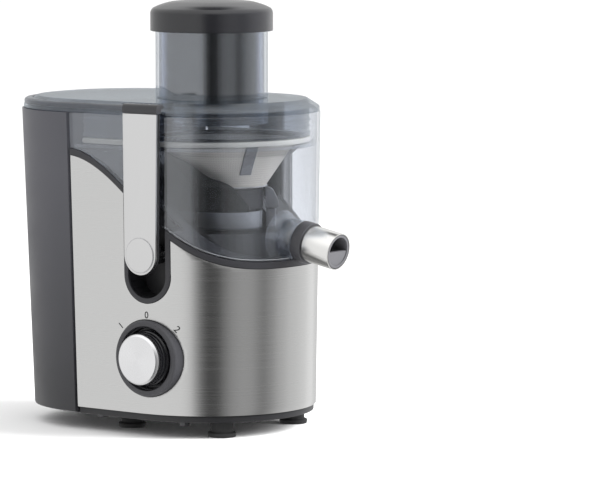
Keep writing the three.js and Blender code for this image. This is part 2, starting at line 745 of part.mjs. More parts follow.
// ---- lid, pusher and pulp container --------------------------------------------------------
function lid() {
  const rim = solid(bodyBlock(0.6, LID_RIM_LOW, LID_RIM_TOP));
  const slope = solid(bodyBlock(0.6, LID_RIM_TOP, LID_Z, LID_CHAMFER));
  const under = join(
    solid(bodyBlock(0.6 + LID_WALL, LID_RIM_LOW - 1, LID_RIM_TOP - 1)),
    solid(bodyBlock(0.6 + LID_WALL, LID_RIM_TOP - 1.001, LID_Z - LID_WALL, LID_CHAMFER + 1)),
  );
  const skirt = common(
    bodyShell(SKIRT_INSET, SKIRT_INSET + SKIRT_WALL, SKIRT_LOW, LID_Z - 1),
    rightOfSeam(4),
  );
  const feed = solid(tube(TUBE_R, 0, TUBE_LOW, TUBE_TOP, 0, 0, 32));
  const bore = solid(tube(TUBE_BORE, 0, TUBE_LOW - 5, TUBE_TOP + 5, 0, 0, 32));
  return cut(join(cut(join(rim, slope), under), skirt, feed), bore);
}

function lidSeal() {
  const low = SHELF_Z + SHELF + GAP;
  const ring = bodyShell(SKIRT_INSET - 1.4, SKIRT_INSET + SKIRT_WALL, low, SKIRT_LOW - 0.3);
  return common(ring, rightOfSeam(4));
}

function pusherBody() {
  return turned([
    [0, CUP_LOW], [36, CUP_LOW], [36.9, CUP_LOW + 1], [36.9, TUBE_TOP], [34.4, TUBE_TOP],
    [34.4, CUP_LOW + 3], [0, CUP_LOW + 3],
  ], 0, 0, 32);
}

function pusherCap() {
  return turned([
    [0, TUBE_TOP + 0.4], [41, TUBE_TOP + 0.4], [41, CAP_LOW], [CAP_R, CAP_LOW], [CAP_R, CAP_SIDE_TOP],
    [CAP_R - 1.4, 299], [CAP_R - 6, 301.2], [30, 303.6], [15, 305.1], [0, CAP_APEX],
  ], 0, 0, 32);
}

function pulpContainer() {
  const outer = common(solid(bodyBlock(-0.6, 12.2, COLLECTOR_TOP)), leftOfSeam(-1.8));
  const inner = common(solid(bodyBlock(1.8, 15, 240)), leftOfSeam(-4.2, 0, 300));
  const lip = solid(box(-90, -40, -74, 74, 200, 240));
  return cut(outer, inner, lip);
}

function containerGrip() {
  const strip = common(
    cut(solid(bodyBlock(-1.9, 20, 134)), solid(bodyBlock(-0.9, 10, 140))),
    solid(box(-170, -100, -13, 13, 10, 150)),
  );
  return strip;
}

// ---- locking arms --------------------------------------------------------------------------
// Arms are drawn for the front (-Y) side with the machine's heights; the rear one is turned round.
function armOutline(inset) {
  const low = ARM_HALF_LOW - inset;
  const top = ARM_HALF_TOP - inset;
  const points = [[top, ARM_TOP], [-top, ARM_TOP]];
  const steps = 10;
  for (let i = 0; i <= steps; i += 1) {
    const angle = Math.PI + (Math.PI * i) / steps;
    points.push([low * Math.cos(angle), PIVOT_Z + low * Math.sin(angle)]);
  }
  return points;
}

function armCore() {
  const bar = solid(sideways(armOutline(0), -ARM_FACE + 2.2, -ARM_BACK));
  const lug = join(
    solid(box(-9, 9, -ARM_BACK - 1, -PIVOT_Y, PIVOT_Z - 6, PIVOT_Z + 6)),
    solid(rodX(6, -PIVOT_Y, PIVOT_Z, -9, 9, 16)),
  );
  return cut(join(bar, lug), solid(rodX(PIN_R + 0.3, -PIVOT_Y, PIVOT_Z, -12, 12)));
}

function armFace() {
  const plate = solid(sideways(armOutline(0.2), -ARM_FACE, -ARM_FACE + 1.9));
  return join(plate, solid(rodY(DISC_R, 0, PIVOT_Z, -ARM_FACE - 0.6, -ARM_FACE + 1, 24)));
}

function armHook(drop, slope) {
  const top = HOOK_TOP - drop;
  const points = [
    [-ARM_FACE, ARM_TOP + 0.3],
    [-ARM_BACK + 0.8, ARM_TOP + 0.3],
    [-ARM_BACK + 1.2, HOOK_LOW - drop],
    [-HOOK_TIP, HOOK_LOW - drop],
    [-HOOK_TIP, top - 1],
    [-HOOK_TIP - 1, top - slope * 0.3],
    [-ARM_FACE + 1.6, top - slope],
    [-ARM_FACE, top - slope - 1.6],
  ];
  return lengthways(points, -ARM_HALF_TOP, ARM_HALF_TOP);
}

function armGroup(side) {
  const group = new THREE.Group();
  const hook = side === 'front' ? armHook(0, 0) : armHook(REAR_HOOK_DROP, REAR_HOOK_SLOPE);
  group.add(
    piece(`arm_core_${side}`, armCore(), BLACK),
    piece(`arm_face_${side}`, armFace(), ALUMINIUM),
    piece(`arm_hook_${side}`, hook, BLACK),
    piece(`arm_pin_${side}`, rodX(PIN_R, -PIVOT_Y, PIVOT_Z, -PIN_HALF, PIN_HALF), STEEL_PIN),
  );
  group.position.x = side === 'front' ? FRONT_X : REAR_X;
  if (side === 'rear') group.rotation.z = Math.PI;
  return group;
}

// ---- assembly ------------------------------------------------------------------------------
function baseGroup() {
  const group = new THREE.Group();
  group.add(
    piece('housing', housing(), BLACK),
    piece('motor_deck', motorDeck(), BLACK),
    piece('slot_liner_front', slotLiner(-1), BLACK),
    piece('slot_liner_rear', slotLiner(1), BLACK),
    piece('steel_wrap', steelWrap(), BRUSHED_STEEL),
    piece('wave_trim', waveTrim(), BLACK),
    piece('bottom_cover', bottomCover(), BLACK),
  );
  for (const [name, x, y] of FEET) {
    const mesh = piece(name, foot(), RUBBER);
    mesh.position.set(x, y, 0);
    group.add(mesh);
  }
  const tongueFoot = piece('tongue_foot', tube(6, 0, 0, TONGUE_LOW - GAP, 0, 0, 20), RUBBER);
  tongueFoot.position.set(TONGUE_FOOT_X, 0, 0);
  group.add(tongueFoot);
  for (const [name, x, y] of SCREWS) {
    const mesh = piece(name, coverScrew(), STEEL_PIN);
    mesh.position.set(x, y, 0);
    group.add(mesh);
  }
  const gland = piece('cord_gland', cordGland(), BLACK);
  gland.position.set(GLAND_X, 66.5, GLAND_Z);
  group.add(gland);
  return group;
}

function controlGroup() {
  const group = new THREE.Group();
  group.position.set(FRONT_X, 0, KNOB_Z);
  const outward = (mesh, y) => {
    mesh.rotation.x = Math.PI / 2;
    mesh.position.y = y;
    return mesh;
  };
  group.add(
    outward(piece('knob_bezel', knobBezel(), DARK_GREY), -BEZEL_FRONT + 11),
    outward(piece('knob_body', knobBody(), GLOSS_BLACK), -72),
    outward(piece('knob_cap', knobCap(), ALUMINIUM), -KNOB_FACE + 4.7),
    outward(piece('knob_shaft', tube(2, 0, 0, 12.6, 0, 0, 12), STEEL_PIN), -59),
    outward(piece('speed_switch', speedSwitch(), BEIGE), -43.2),
  );
  return group;
}

function motorGroup() {
  const group = new THREE.Group();
  group.position.x = DRIVE_X;
  group.add(
    piece('stator_core', statorCore(), LAMINATION),
    piece('field_coil_front', fieldCoil(-1), COPPER),
    piece('field_coil_rear', fieldCoil(1), COPPER),
    piece('upper_bracket', upperBracket(), ALUMINIUM),
    piece('lower_bracket', lowerBracket(), ALUMINIUM),
    piece('upper_bearing', bearing(99.4), STEEL_PIN),
    piece('lower_bearing', bearing(23.8), STEEL_PIN),
    piece('brush_holder_left', brushHolder(-1), DARK_GREY),
    piece('brush_holder_right', brushHolder(1), DARK_GREY),
    piece('motor_shaft', motorShaft(), STEEL_PIN),
    piece('armature_core', armatureCore(), LAMINATION),
    piece('commutator', commutator(), COPPER),
    piece('cooling_fan', coolingFan(), DARK_GREY),
    piece('drive_coupling', driveCoupling(), BLACK),
    piece('drive_seal', tube(13.5, 7.2, PLATEAU_Z + 0.3, PLATEAU_Z + 2.6, 0, 0, 20), RUBBER),
  );
  return group;
}

function bowlGroup() {
  const group = new THREE.Group();
  group.add(
    piece('collector', collector(), SMOKE),
    piece('juice_chamber', juiceChamber(), SMOKE),
  );
  const spout = new THREE.Group();
  spout.position.set(SPOUT_END.x, 0, SPOUT_END.z);
  spout.rotation.y = -Math.PI / 2 + SPOUT_TILT;
  spout.add(
    piece('spout_collar', spoutCollar(), BLACK),
    piece('spout_sleeve', spoutSleeve(), POLISHED),
    piece('spout_insert', spoutInsert(), DARK_GREY),
  );
  const basket = new THREE.Group();
  basket.position.x = DRIVE_X;
  basket.add(
    piece('basket_mesh', basketMesh(), POLISHED),
    piece('basket_frame', basketFrame(), DARK_GREY),
    piece('grater_disc', graterDisc(), POLISHED),
  );
  group.add(spout, basket);
  return group;
}

function topGroup() {
  const group = new THREE.Group();
  group.add(
    piece('lid', lid(), SMOKE),
    piece('lid_seal', lidSeal(), BEIGE),
    piece('pusher_body', pusherBody(), SMOKE),
    piece('pusher_cap', pusherCap(), GLOSS_BLACK),
    piece('pulp_container', pulpContainer(), DARK_GREY),
    piece('container_grip', containerGrip(), BLACK),
  );
  return group;
}

const interlock = piece('interlock_switch', interlockSwitch(), DARK_GREY);
interlock.position.set(FRONT_X, -54, 104);

const juicer = new THREE.Group();
juicer.position.copy(MACHINE_SHIFT);
juicer.add(
  baseGroup(),
  controlGroup(),
  motorGroup(),
  bowlGroup(),
  topGroup(),
  armGroup('front'),
  armGroup('rear'),
  interlock,
);

export default juicer;
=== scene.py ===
"""Centrifugal juicer: the visual model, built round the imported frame."""

import math

import bmesh
import bpy
import numpy as np
from mathutils import Matrix, Vector
from mathutils.geometry import delaunay_2d_cdt


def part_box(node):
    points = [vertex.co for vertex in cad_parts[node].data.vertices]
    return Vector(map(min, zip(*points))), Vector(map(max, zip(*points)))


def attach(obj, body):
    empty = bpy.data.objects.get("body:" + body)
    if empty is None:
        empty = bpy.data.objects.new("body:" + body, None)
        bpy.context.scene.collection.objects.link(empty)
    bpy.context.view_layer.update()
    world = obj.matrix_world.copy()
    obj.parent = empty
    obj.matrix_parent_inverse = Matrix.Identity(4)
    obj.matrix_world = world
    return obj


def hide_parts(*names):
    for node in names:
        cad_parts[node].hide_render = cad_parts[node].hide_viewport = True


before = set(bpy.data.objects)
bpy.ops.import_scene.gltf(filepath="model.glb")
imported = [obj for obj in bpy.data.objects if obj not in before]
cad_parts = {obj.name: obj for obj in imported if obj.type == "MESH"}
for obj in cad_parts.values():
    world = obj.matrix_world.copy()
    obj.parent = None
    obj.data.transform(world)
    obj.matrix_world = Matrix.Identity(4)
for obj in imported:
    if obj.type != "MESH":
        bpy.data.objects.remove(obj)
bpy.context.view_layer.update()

# ---- driving dimensions, in millimetres about the feed tube's axis ----
MM = 0.001
GAP = 0.4
RADIUS = 79.5
END_X = -2.6
LEFT_REACH = 144.9
FLAT_LEFT_X = -66.0
END_POWER = 2.3
RIM_Z = 228.0
BASE_Z = 16.5
DRAFT_ROUND = 0.039
DRAFT_LEFT = 0.0656
SEAM_X = -66.8
STEEL = 0.9
FLOOR_Z = 11.6
TRIM_DROP = 4.6

DRIVE_X = 15.0
PLATEAU_Z = 142.0
CHAMBER_R = 45.4
CHAMBER_BORE = 43.8
CHAMBER_TOP = 196.4
CHAMBER_SKIRT_LOW = 126.4
CHIMNEY_R = 21.4
CHIMNEY_TOP = 155.4
MOUTH_R = 49.5
SHELF_Z = 201.8
SHELF = 2.2
COLLECTOR_TOP = 226.2
CONE_LOW = (26.6, 173.7)
CONE_HIGH = (48.9, 206.6)
BASKET_RIM_R = 50.8
DRUM_R = 24.5
DRUM_Z = 157.0
DRUM_TOP = 173.0
FIN_TURN = -0.56
FIN_HALF = 4.4
GUARD_R = 43.2
GUARD_WALL = 1.6
GUARD_LOW = 157.6
# The guard's top edge: degrees round from the middle of the view, and height.
GUARD_TOP = [
    (-118, 196.0), (-62, 195.5), (-40, 192.0), (-16, 181.0), (2, 178.4), (12, 171.0), (18, 163.0),
    (20, GUARD_LOW),
]

SPOUT_END = Vector((112.1, 0, 131.5))
SPOUT_TILT = math.radians(10.7)
SPOUT_R = 13.1
SPOUT_BORE = 12.35
INSERT_R = 12.0
INSERT_BORE = 10.2
INSERT_LENGTH = 31.0
COLLAR_R = 14.6
COLLAR_FROM = 23.8
COLLAR_TO = 32.3

LID_Z = 235.0
LID_INSET = 0.6
LID_CHAMFER = 9.3
LID_RIM_TOP = 229.4
LID_RIM_LOW = 226.6
LID_WALL = 2.4
SKIRT_INSET = 8.1
SKIRT_WALL = 1.8
SKIRT_LOW = 208.6
# The ribs round the skirt: each one's lower edge, how far it stands out, and its height.
SKIRT_RIBS = [
    (SKIRT_LOW, 1.2, 3.2), (214.4, 0.7, 1.6), (218.6, 1.1, 2.4), (223.6, 0.7, 1.4), (227.4, 0.9, 1.8),
]
TUBE_R = 40.0
TUBE_BORE = 37.5
TUBE_LOW = 217.0
TUBE_TOP = 293.0
CUP_R = 36.9
CUP_BORE = 34.4
CUP_LOW = 217.1
CUP_FLOOR = 3.0
CAP_R = 43.7
CAP_LOW = 282.9
CAP_SIDE_TOP = 296.5
CAP_APEX = 305.5

FRONT_X = 2.0
REAR_X = -13.4
ARM_BACK = 80.3
ARM_FACE = 84.5
PIVOT_Y = 70.0
PIVOT_Z = 129.2
ARM_TOP = 228.2
ARM_HALF_TOP = 15.4
ARM_HALF_LOW = 14.0
HOOK_TOP = 234.8
HOOK_TIP = 76.6
HOOK_LOW = 232.0
SLOT_R = 15.6
SLOT_RIM = 19.0
SLOT_Z = 114.0

KNOB_Z = 56.0
BEZEL_R = 27.1
BEZEL_FRONT = 79.4
BEZEL_DEEP = 11.0
KNOB_R = 18.0
KNOB_FACE = 88.0
KNOB_BACK = 72.0
KNOB_TALL = 11.0
KNOB_SKIRT_R = 19.8
# Each dial number, its turn about the knob in degrees, and its distance from the knob's axis.
DIGITS = [("1", 47, 31.4), ("0", 0, 30.4), ("2", -47, 31.6)]
DIGIT_SIZE = 6.8
BADGE_R = 12.0

# ---- camera, about the same axis ----
CAMERA_TURN = math.radians(36.85)
CAMERA_TILT = math.radians(5.91)
CAMERA_REACH = 2888.96
CAMERA_ACROSS = 62.81
CAMERA_HEIGHT = 124.92
CAMERA_LENS = 241.2636
CAMERA_SENSOR = 36.0

# The feed tube's axis is where the pusher's cap is centred.
CAP_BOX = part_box("pusher_cap")
ORIGIN = Vector(((CAP_BOX[0].x + CAP_BOX[1].x) / 2, (CAP_BOX[0].y + CAP_BOX[1].y) / 2, 0))


def to_frame(point):
    """A point in the driving dimensions' millimetres, in the frame's metres."""
    return ORIGIN + Vector(point) * MM


# ---- outlines ----
ROUND_LENGTH = math.pi * RADIUS
FLAT_LENGTH = END_X - FLAT_LEFT_X
END_REACH = LEFT_REACH - FLAT_LENGTH
_turn = np.linspace(0, math.pi / 2, 1500)
_end_x = FLAT_LEFT_X - END_REACH * np.sin(_turn) ** (2 / END_POWER)
_end_y = -RADIUS * np.cos(_turn) ** (2 / END_POWER)
_end_run = np.concatenate([[0], np.cumsum(np.hypot(np.diff(_end_x), np.diff(_end_y)))])
END_HALF = float(_end_run[-1])
AROUND = 2 * FLAT_LENGTH + 2 * END_HALF + ROUND_LENGTH
# The steel, trim and collector run between these distances and leave the rest to the pulp container.
SEAM_FROM = max(-FLAT_LENGTH, SEAM_X + GAP - END_X)
SEAM_TO = ROUND_LENGTH - SEAM_FROM


def rim_point(s):
    """The body's outline at the rim, a distance s from where the front's flat turns round."""
    if s < -FLAT_LENGTH - 2 * END_HALF:
        return rim_point(s + AROUND)
    if s > ROUND_LENGTH / 2:
        x, y = rim_point(ROUND_LENGTH - s)
        return x, -y
    if s >= 0:
        return END_X + RADIUS * math.sin(s / RADIUS), -RADIUS * math.cos(s / RADIUS)
    if s >= -FLAT_LENGTH:
        return END_X + s, -RADIUS
    run = -FLAT_LENGTH - s
    if run <= END_HALF:
        return float(np.interp(run, _end_run, _end_x)), float(np.interp(run, _end_run, _end_y))
    run = 2 * END_HALF - run
    return float(np.interp(run, _end_run, _end_x)), -float(np.interp(run, _end_run, _end_y))


def draft(x, z):
    """How much of the rim's size is left at height z, as the body narrows downwards."""
    low = (RIM_Z - min(z, RIM_Z)) / (RIM_Z - BASE_Z)
    return 1 - (DRAFT_LEFT if x < END_X else DRAFT_ROUND) * low


def narrowed(x, y, z, inset=0.0):
    """A point of the rim's outline, carried down to z and pulled in by an inset."""
    round_share = (1 - inset / RADIUS) * draft(END_X + 1, z)
    left_share = (1 - inset / LEFT_REACH) * draft(END_X - 1, z)
    return Vector((END_X + (x - END_X) * (left_share if x < END_X else round_share), y * round_share, z))


def on_body(s, z, inset=0.0):
    """The body's surface at a distance along the rim and a height, pulled in by an inset."""
    return narrowed(*rim_point(s), z, inset)


def along(x, z):
    """How far along the front a point at x lies, which is the inverse of on_body there."""
    across = (x - END_X) / draft(x, z)
    return across if across < 0 else RADIUS * math.asin(min(1.0, across / RADIUS))


_t = np.linspace(0, 1, 400)
WAVE_POINTS = [(-66, 201), (-20, 197), (18, 126), (72, 124)]
_weights = [(1 - _t) ** 3, 3 * _t * (1 - _t) ** 2, 3 * _t ** 2 * (1 - _t), _t ** 3]
_wave_x = sum(w * p[0] for w, p in zip(_weights, WAVE_POINTS))
_wave_z = sum(w * p[1] for w, p in zip(_weights, WAVE_POINTS))


def wave(s, offset=0.0):
    """Height of the edge between the steel and the clear collector."""
    x = rim_point(s)[0]
    z = 0.0
    for _ in range(4):
        here = END_X + (x - END_X) * draft(x, z or 160.0)
        z = float(np.interp(here, _wave_x, _wave_z)) + offset
    return z


def circle(radius, count, start=0.0, sweep=2 * math.pi):
    """Points on a circle, or on an arc when the sweep is less than a full turn."""
    closed = sweep == 2 * math.pi
    steps = count if closed else count - 1
    return [
        (radius * math.cos(start + sweep * i / steps), radius * math.sin(start + sweep * i / steps))
        for i in range(count)
    ]


def band(inner, outer, low, high):
    """The section of a plain ring."""
    return [(inner, low), (outer, low), (outer, high), (inner, high)]


def softened(points, radius, steps=3):
    """A closed outline with each corner turned into a small curve; a third value is a corner's own."""
    out = []
    for i, point in enumerate(points):
        here = Vector(point[:2])
        own = point[2] if len(point) > 2 else radius
        before = Vector(points[i - 1][:2]) - here
        after = Vector(points[(i + 1) % len(points)][:2]) - here
        reach = min(own, 0.45 * before.length, 0.45 * after.length)
        if reach < 0.02 or abs(here.x) < 1e-6 and own == radius:
            out.append(tuple(here))
            continue
        a = here + before.normalized() * reach
        b = here + after.normalized() * reach
        for k in range(steps + 1):
            t = k / steps
            out.append(tuple(a * (1 - t) ** 2 + here * 2 * t * (1 - t) + b * t ** 2))
    return out


# ---- meshes ----
def in_scene(name, data):
    """A new object in the scene."""
    made = bpy.data.objects.new(name, data)
    bpy.context.scene.collection.objects.link(made)
    return made


def add_piece(name, bm, look, body, nodes=(), crease=35, centre=(0, 0, 0)):
    """Turns a bmesh in driving millimetres into a piece that rides on a body."""
    bmesh.ops.recalc_face_normals(bm, faces=bm.faces)
    middle = Vector(centre)
    for vert in bm.verts:
        vert.co = (vert.co - middle) * MM
    mesh = bpy.data.meshes.new(name)
    bm.to_mesh(mesh)
    bm.free()
    mesh.shade_smooth()
    mesh.set_sharp_from_angle(angle=math.radians(crease))
    mesh.materials.append(look)
    piece = in_scene(name, mesh)
    piece.location = to_frame(middle)
    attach(piece, body)
    if nodes:
        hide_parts(*nodes)
    return piece


def grid_faces(bm, rows, wrap_rows, wrap_columns):
    """Faces between rows of vertices; a row of one vertex is a tip."""
    pairs = list(zip(rows, rows[1:] + rows[:1]))
    if not wrap_rows:
        pairs = pairs[:-1]
    for low, high in pairs:
        count = max(len(low), len(high))
        if count == 1:
            continue
        for i in range(count if wrap_columns else count - 1):
            j = (i + 1) % count
            ring = [low[i % len(low)], low[j % len(low)], high[j % len(high)], high[i % len(high)]]
            unique = [v for k, v in enumerate(ring) if v not in ring[:k]]
            if len(unique) > 2:
                bm.faces.new(unique)


def turned(profile, soft=0.4, segments=96, place=None, steps=3):
    """A body turned from a profile of (radius, height), with its corners softened."""
    bm = bmesh.new()
    place = place or Matrix.Identity(4)
    rows = []
    for r, z in softened(profile, soft, steps):
        if r < 1e-4:
            rows.append([bm.verts.new(place @ Vector((0, 0, z)))])
            continue
        rows.append([bm.verts.new(place @ Vector((x, y, z))) for x, y in circle(r, segments)])
    grid_faces(bm, rows, True, True)
    return bm


def swept(profile, low=None, high=None, spacing=3.0, soft=0.3, steps=2):
    """A profile of (inset, height) carried round the body, or from one distance to another."""
    whole = low is None
    if whole:
        low, high = -FLAT_LENGTH - 2 * END_HALF, ROUND_LENGTH + FLAT_LENGTH
    count = max(3, round((high - low) / spacing))
    stations = [low + (high - low) * i / count for i in range(count if whole else count + 1)]
    bm = bmesh.new()
    section = softened(profile, soft, steps)
    columns = [[bm.verts.new(on_body(s, z, inset)) for inset, z in section] for s in stations]
    grid_faces(bm, columns, whole, True)
    if not whole:
        bm.faces.new(columns[0])
        bm.faces.new(columns[-1])
    return bm


def rounded(bm, edges, radius, segments):
    """Softens some edges of a bmesh."""
    bmesh.ops.bevel(
        bm, geom=edges, offset=radius, segments=segments, profile=0.5, affect="EDGES", clamp_overlap=True
    )


def dense(loop, spacing):
    """A closed loop with points added along its sides."""
    out = []
    for i, a in enumerate(loop):
        b = loop[(i + 1) % len(loop)]
        steps = max(1, round(math.dist(a, b) / spacing))
        out += [(a[0] + (b[0] - a[0]) * k / steps, a[1] + (b[1] - a[1]) * k / steps) for k in range(steps)]
    return out


def filled(loops, keep, spacing):
    """Points and triangles that fill the region inside the loops where keep(u, v) is true."""
    points, edges = [], []
    for loop in loops:
        first = len(points)
        ring = dense(loop, spacing)
        points += ring
        edges += [(first + i, first + (i + 1) % len(ring)) for i in range(len(ring))]
    border = np.array(points)
    low, high = border.min(0), border.max(0)
    for v in np.arange(low[1] + spacing / 2, high[1], spacing):
        for u in np.arange(low[0] + spacing / 2, high[0], spacing):
            if keep(u, v) and np.hypot(border[:, 0] - u, border[:, 1] - v).min() > 0.6 * spacing:
                points.append((float(u), float(v)))
    verts, _, faces, _, _, _ = delaunay_2d_cdt([Vector(p) for p in points], edges, [], 0, 1e-5)
    inside = []
    for face in faces:
        middle = sum((verts[i] for i in face), Vector((0, 0))) / len(face)
        if keep(middle.x, middle.y):
            inside.append(face)
    return verts, inside


def slab(loops, keep, outer, inner, spacing=3.0, edge=0.3, segments=2):
    """A sheet between two surfaces, each a function from (u, v) to a point, with softened edges."""
    verts, faces = filled(loops, keep, spacing)
    used = sorted({i for face in faces for i in face})
    bm = bmesh.new()
    top = {i: bm.verts.new(outer(*verts[i])) for i in used}
    under = {i: bm.verts.new(inner(*verts[i])) for i in used}
    sides = {}
    for face in faces:
        bm.faces.new([top[i] for i in face])
        bm.faces.new([under[i] for i in reversed(face)])
        for a, b in zip(face, face[1:] + face[:1]):
            key = (min(a, b), max(a, b))
            sides[key] = None if key in sides else (a, b)
    rims = [pair for pair in sides.values() if pair]
    for a, b in rims:
        bm.faces.new([top[b], top[a], under[a], under[b]])
    if edge:
        rounded(bm, [bm.edges.get((top[a], top[b])) for a, b in rims], edge, segments)
    return bm


def sheet(loops, keep, outer, inner, spacing=3.0, edge=0.3):
    """A sheet that follows the body, drawn on (distance along, height) between two insets."""
    return slab(
        loops, keep, lambda s, z: on_body(s, z, outer), lambda s, z: on_body(s, z, inner), spacing, edge
    )


def prism(outline, axis, low, high, edge=0.5, segments=3, place=None):
    """An outline pushed along an axis, with both its rims softened."""
    bm = bmesh.new()
    spots = {
        "X": lambda u, v, w: (w, u, v),
        "Y": lambda u, v, w: (u, w, v),
        "Z": lambda u, v, w: (u, v, w),
    }[axis]
    place = place or Matrix.Identity(4)
    ends = [[bm.verts.new(place @ Vector(spots(u, v, w))) for u, v in outline] for w in (low, high)]
    bm.faces.new(ends[0])
    bm.faces.new(ends[1][::-1])
    for i in range(len(outline)):
        j = (i + 1) % len(outline)
        bm.faces.new([ends[0][j], ends[0][i], ends[1][i], ends[1][j]])
    if edge:
        rims = [bm.edges.get((row[i], row[(i + 1) % len(row)])) for row in ends for i in range(len(row))]
        rounded(bm, rims, edge, segments)
    return bm


def merged(*parts):
    """Several bmeshes as one."""
    whole = bmesh.new()
    for part in parts:
        mesh = bpy.data.meshes.new("part")
        part.to_mesh(mesh)
        part.free()
        whole.from_mesh(mesh)
        bpy.data.meshes.remove(mesh)
    return whole


def inside_polygon(polygon):
    """A test for whether a point lies inside a closed outline."""
    corners = np.array(polygon)
    ahead = np.roll(corners, -1, axis=0)

    def test(u, v):
        crosses = (corners[:, 1] > v) != (ahead[:, 1] > v)
        rise = np.where(crosses, ahead[:, 1] - corners[:, 1], 1.0)
        at = corners[:, 0] + (v - corners[:, 1]) / rise * (ahead[:, 0] - corners[:, 0])
        return bool(np.count_nonzero(crosses & (u < at)) % 2)

    return test


def inside_with_holes(outline, holes):
    """A test for whether a point lies inside an outline and outside all of its holes."""
    in_outline = inside_polygon(outline)
    in_holes = [inside_polygon(hole) for hole in holes]
    return lambda u, v: in_outline(u, v) and not any(test(u, v) for test in in_holes)


def level_outline(z, inset, low, high, spacing):
    """The body's outline at a height, from one distance along it to another."""
    return [tuple(on_body(s, z, inset).xy) for s in np.arange(low, high, spacing)]


def level_plate(outline, holes, low, high, spacing, edge):
    """A flat plate between two heights, with holes."""
    keep = inside_with_holes(outline, holes)
    return slab(
        [outline, *holes], keep,
        lambda x, y: Vector((x, y, high)), lambda x, y: Vector((x, y, low)), spacing, edge,
    )


# ---- materials ----
class Look:
    """A procedural material: a Principled surface, and the nodes that vary it."""

    def __init__(self, name, color, roughness, metallic=0.0, **sockets):
        self.material = bpy.data.materials.new(name)
        self.material.use_nodes = True
        self.tree = self.material.node_tree
        self.surface = self.tree.nodes["Principled BSDF"]
        self.output = self.tree.nodes["Material Output"]
        self.color = color
        self.roughness = roughness
        self.surface.inputs["Base Color"].default_value = (*color, 1)
        self.surface.inputs["Roughness"].default_value = roughness
        self.surface.inputs["Metallic"].default_value = metallic
        for socket, value in sockets.items():
            self.surface.inputs[socket.replace("_", " ").title().replace("Ior", "IOR")].default_value = value
        self.position = self.node("TexCoord").outputs["Object"]

    def node(self, kind, **inputs):
        made = self.tree.nodes.new("ShaderNode" + kind)
        for key, value in inputs.items():
            if key.islower() and hasattr(made, key):
                setattr(made, key, value)
                continue
            socket = made.inputs[int(key[1:])] if key[0] == "_" else made.inputs[key.replace("_", " ")]
            if isinstance(value, bpy.types.NodeSocket):
                self.tree.links.new(value, socket)
            else:
                socket.default_value = value
        return made

    def link(self, output, socket):
        self.tree.links.new(output, socket)

    def noise(self, scale, detail=3.0, stretch=(1, 1, 1)):
        """Noise whose grains are 1/scale metres, stretched along the axes that have small numbers."""
        spread = self.node("Mapping", vector_type="POINT", Vector=self.position, Scale=stretch)
        made = self.node("TexNoise", Vector=spread.outputs[0], Scale=scale, Detail=detail)
        return made.outputs[0]

    def between(self, value, low, high, from_low=0.3, from_high=0.7):
        made = self.node("MapRange", _0=value, _1=from_low, _2=from_high, _3=low, _4=high)
        return made.outputs[0]

    def vary_color(self, value, amount):
        """Base colour a little darker and lighter with a value."""
        dark = [c * (1 - amount) for c in self.color]
        light = [min(1.0, c * (1 + amount)) for c in self.color]
        mix = self.node("Mix", data_type="RGBA", _0=value, _6=(*dark, 1), _7=(*light, 1))
        self.link(mix.outputs[2], self.surface.inputs["Base Color"])

    def vary_roughness(self, value, amount):
        rough = self.between(value, self.roughness - amount, self.roughness + amount)
        self.link(rough, self.surface.inputs["Roughness"])

    def bump(self, value, strength, distance=0.0002):
        made = self.node("Bump", Strength=strength, Distance=distance, Height=value)
        self.link(made.outputs[0], self.surface.inputs["Normal"])


def moulded(name, color, roughness, grain=2200, depth=0.25, **sockets):
    """Moulded plastic: a fine spark-eroded grain, smudges of sheen and a slight change of tone."""
    look = Look(name, color, roughness, **sockets)
    look.vary_color(look.between(look.noise(9, 3.0), 0.0, 1.0), 0.06)
    look.vary_roughness(look.noise(38, 4.0), min(0.07, roughness * 0.35))
    look.bump(look.noise(grain, 2.0), depth, 0.0001)
    return look.material


def brushed(name, color, roughness, stretch, anisotropic, streak=0.06):
    """Brushed metal: streaks that run one way, in its colour, its sheen and its bump."""
    look = Look(name, color, roughness, metallic=1.0, anisotropic=anisotropic, anisotropic_rotation=0.25)
    look.link(look.node("Tangent", axis="Z").outputs[0], look.surface.inputs["Tangent"])
    fine = look.noise(1.0, 4.0, stretch)
    broad = look.noise(1.0, 3.0, [s * 0.22 for s in stretch])
    both = look.node("Math", operation="MULTIPLY_ADD", _0=broad, _1=0.5, _2=look.between(fine, 0, 0.5))
    look.vary_color(both.outputs[0], streak)
    look.vary_roughness(both.outputs[0], 0.03)
    look.bump(fine, 0.01, 0.00001)
    return look.material


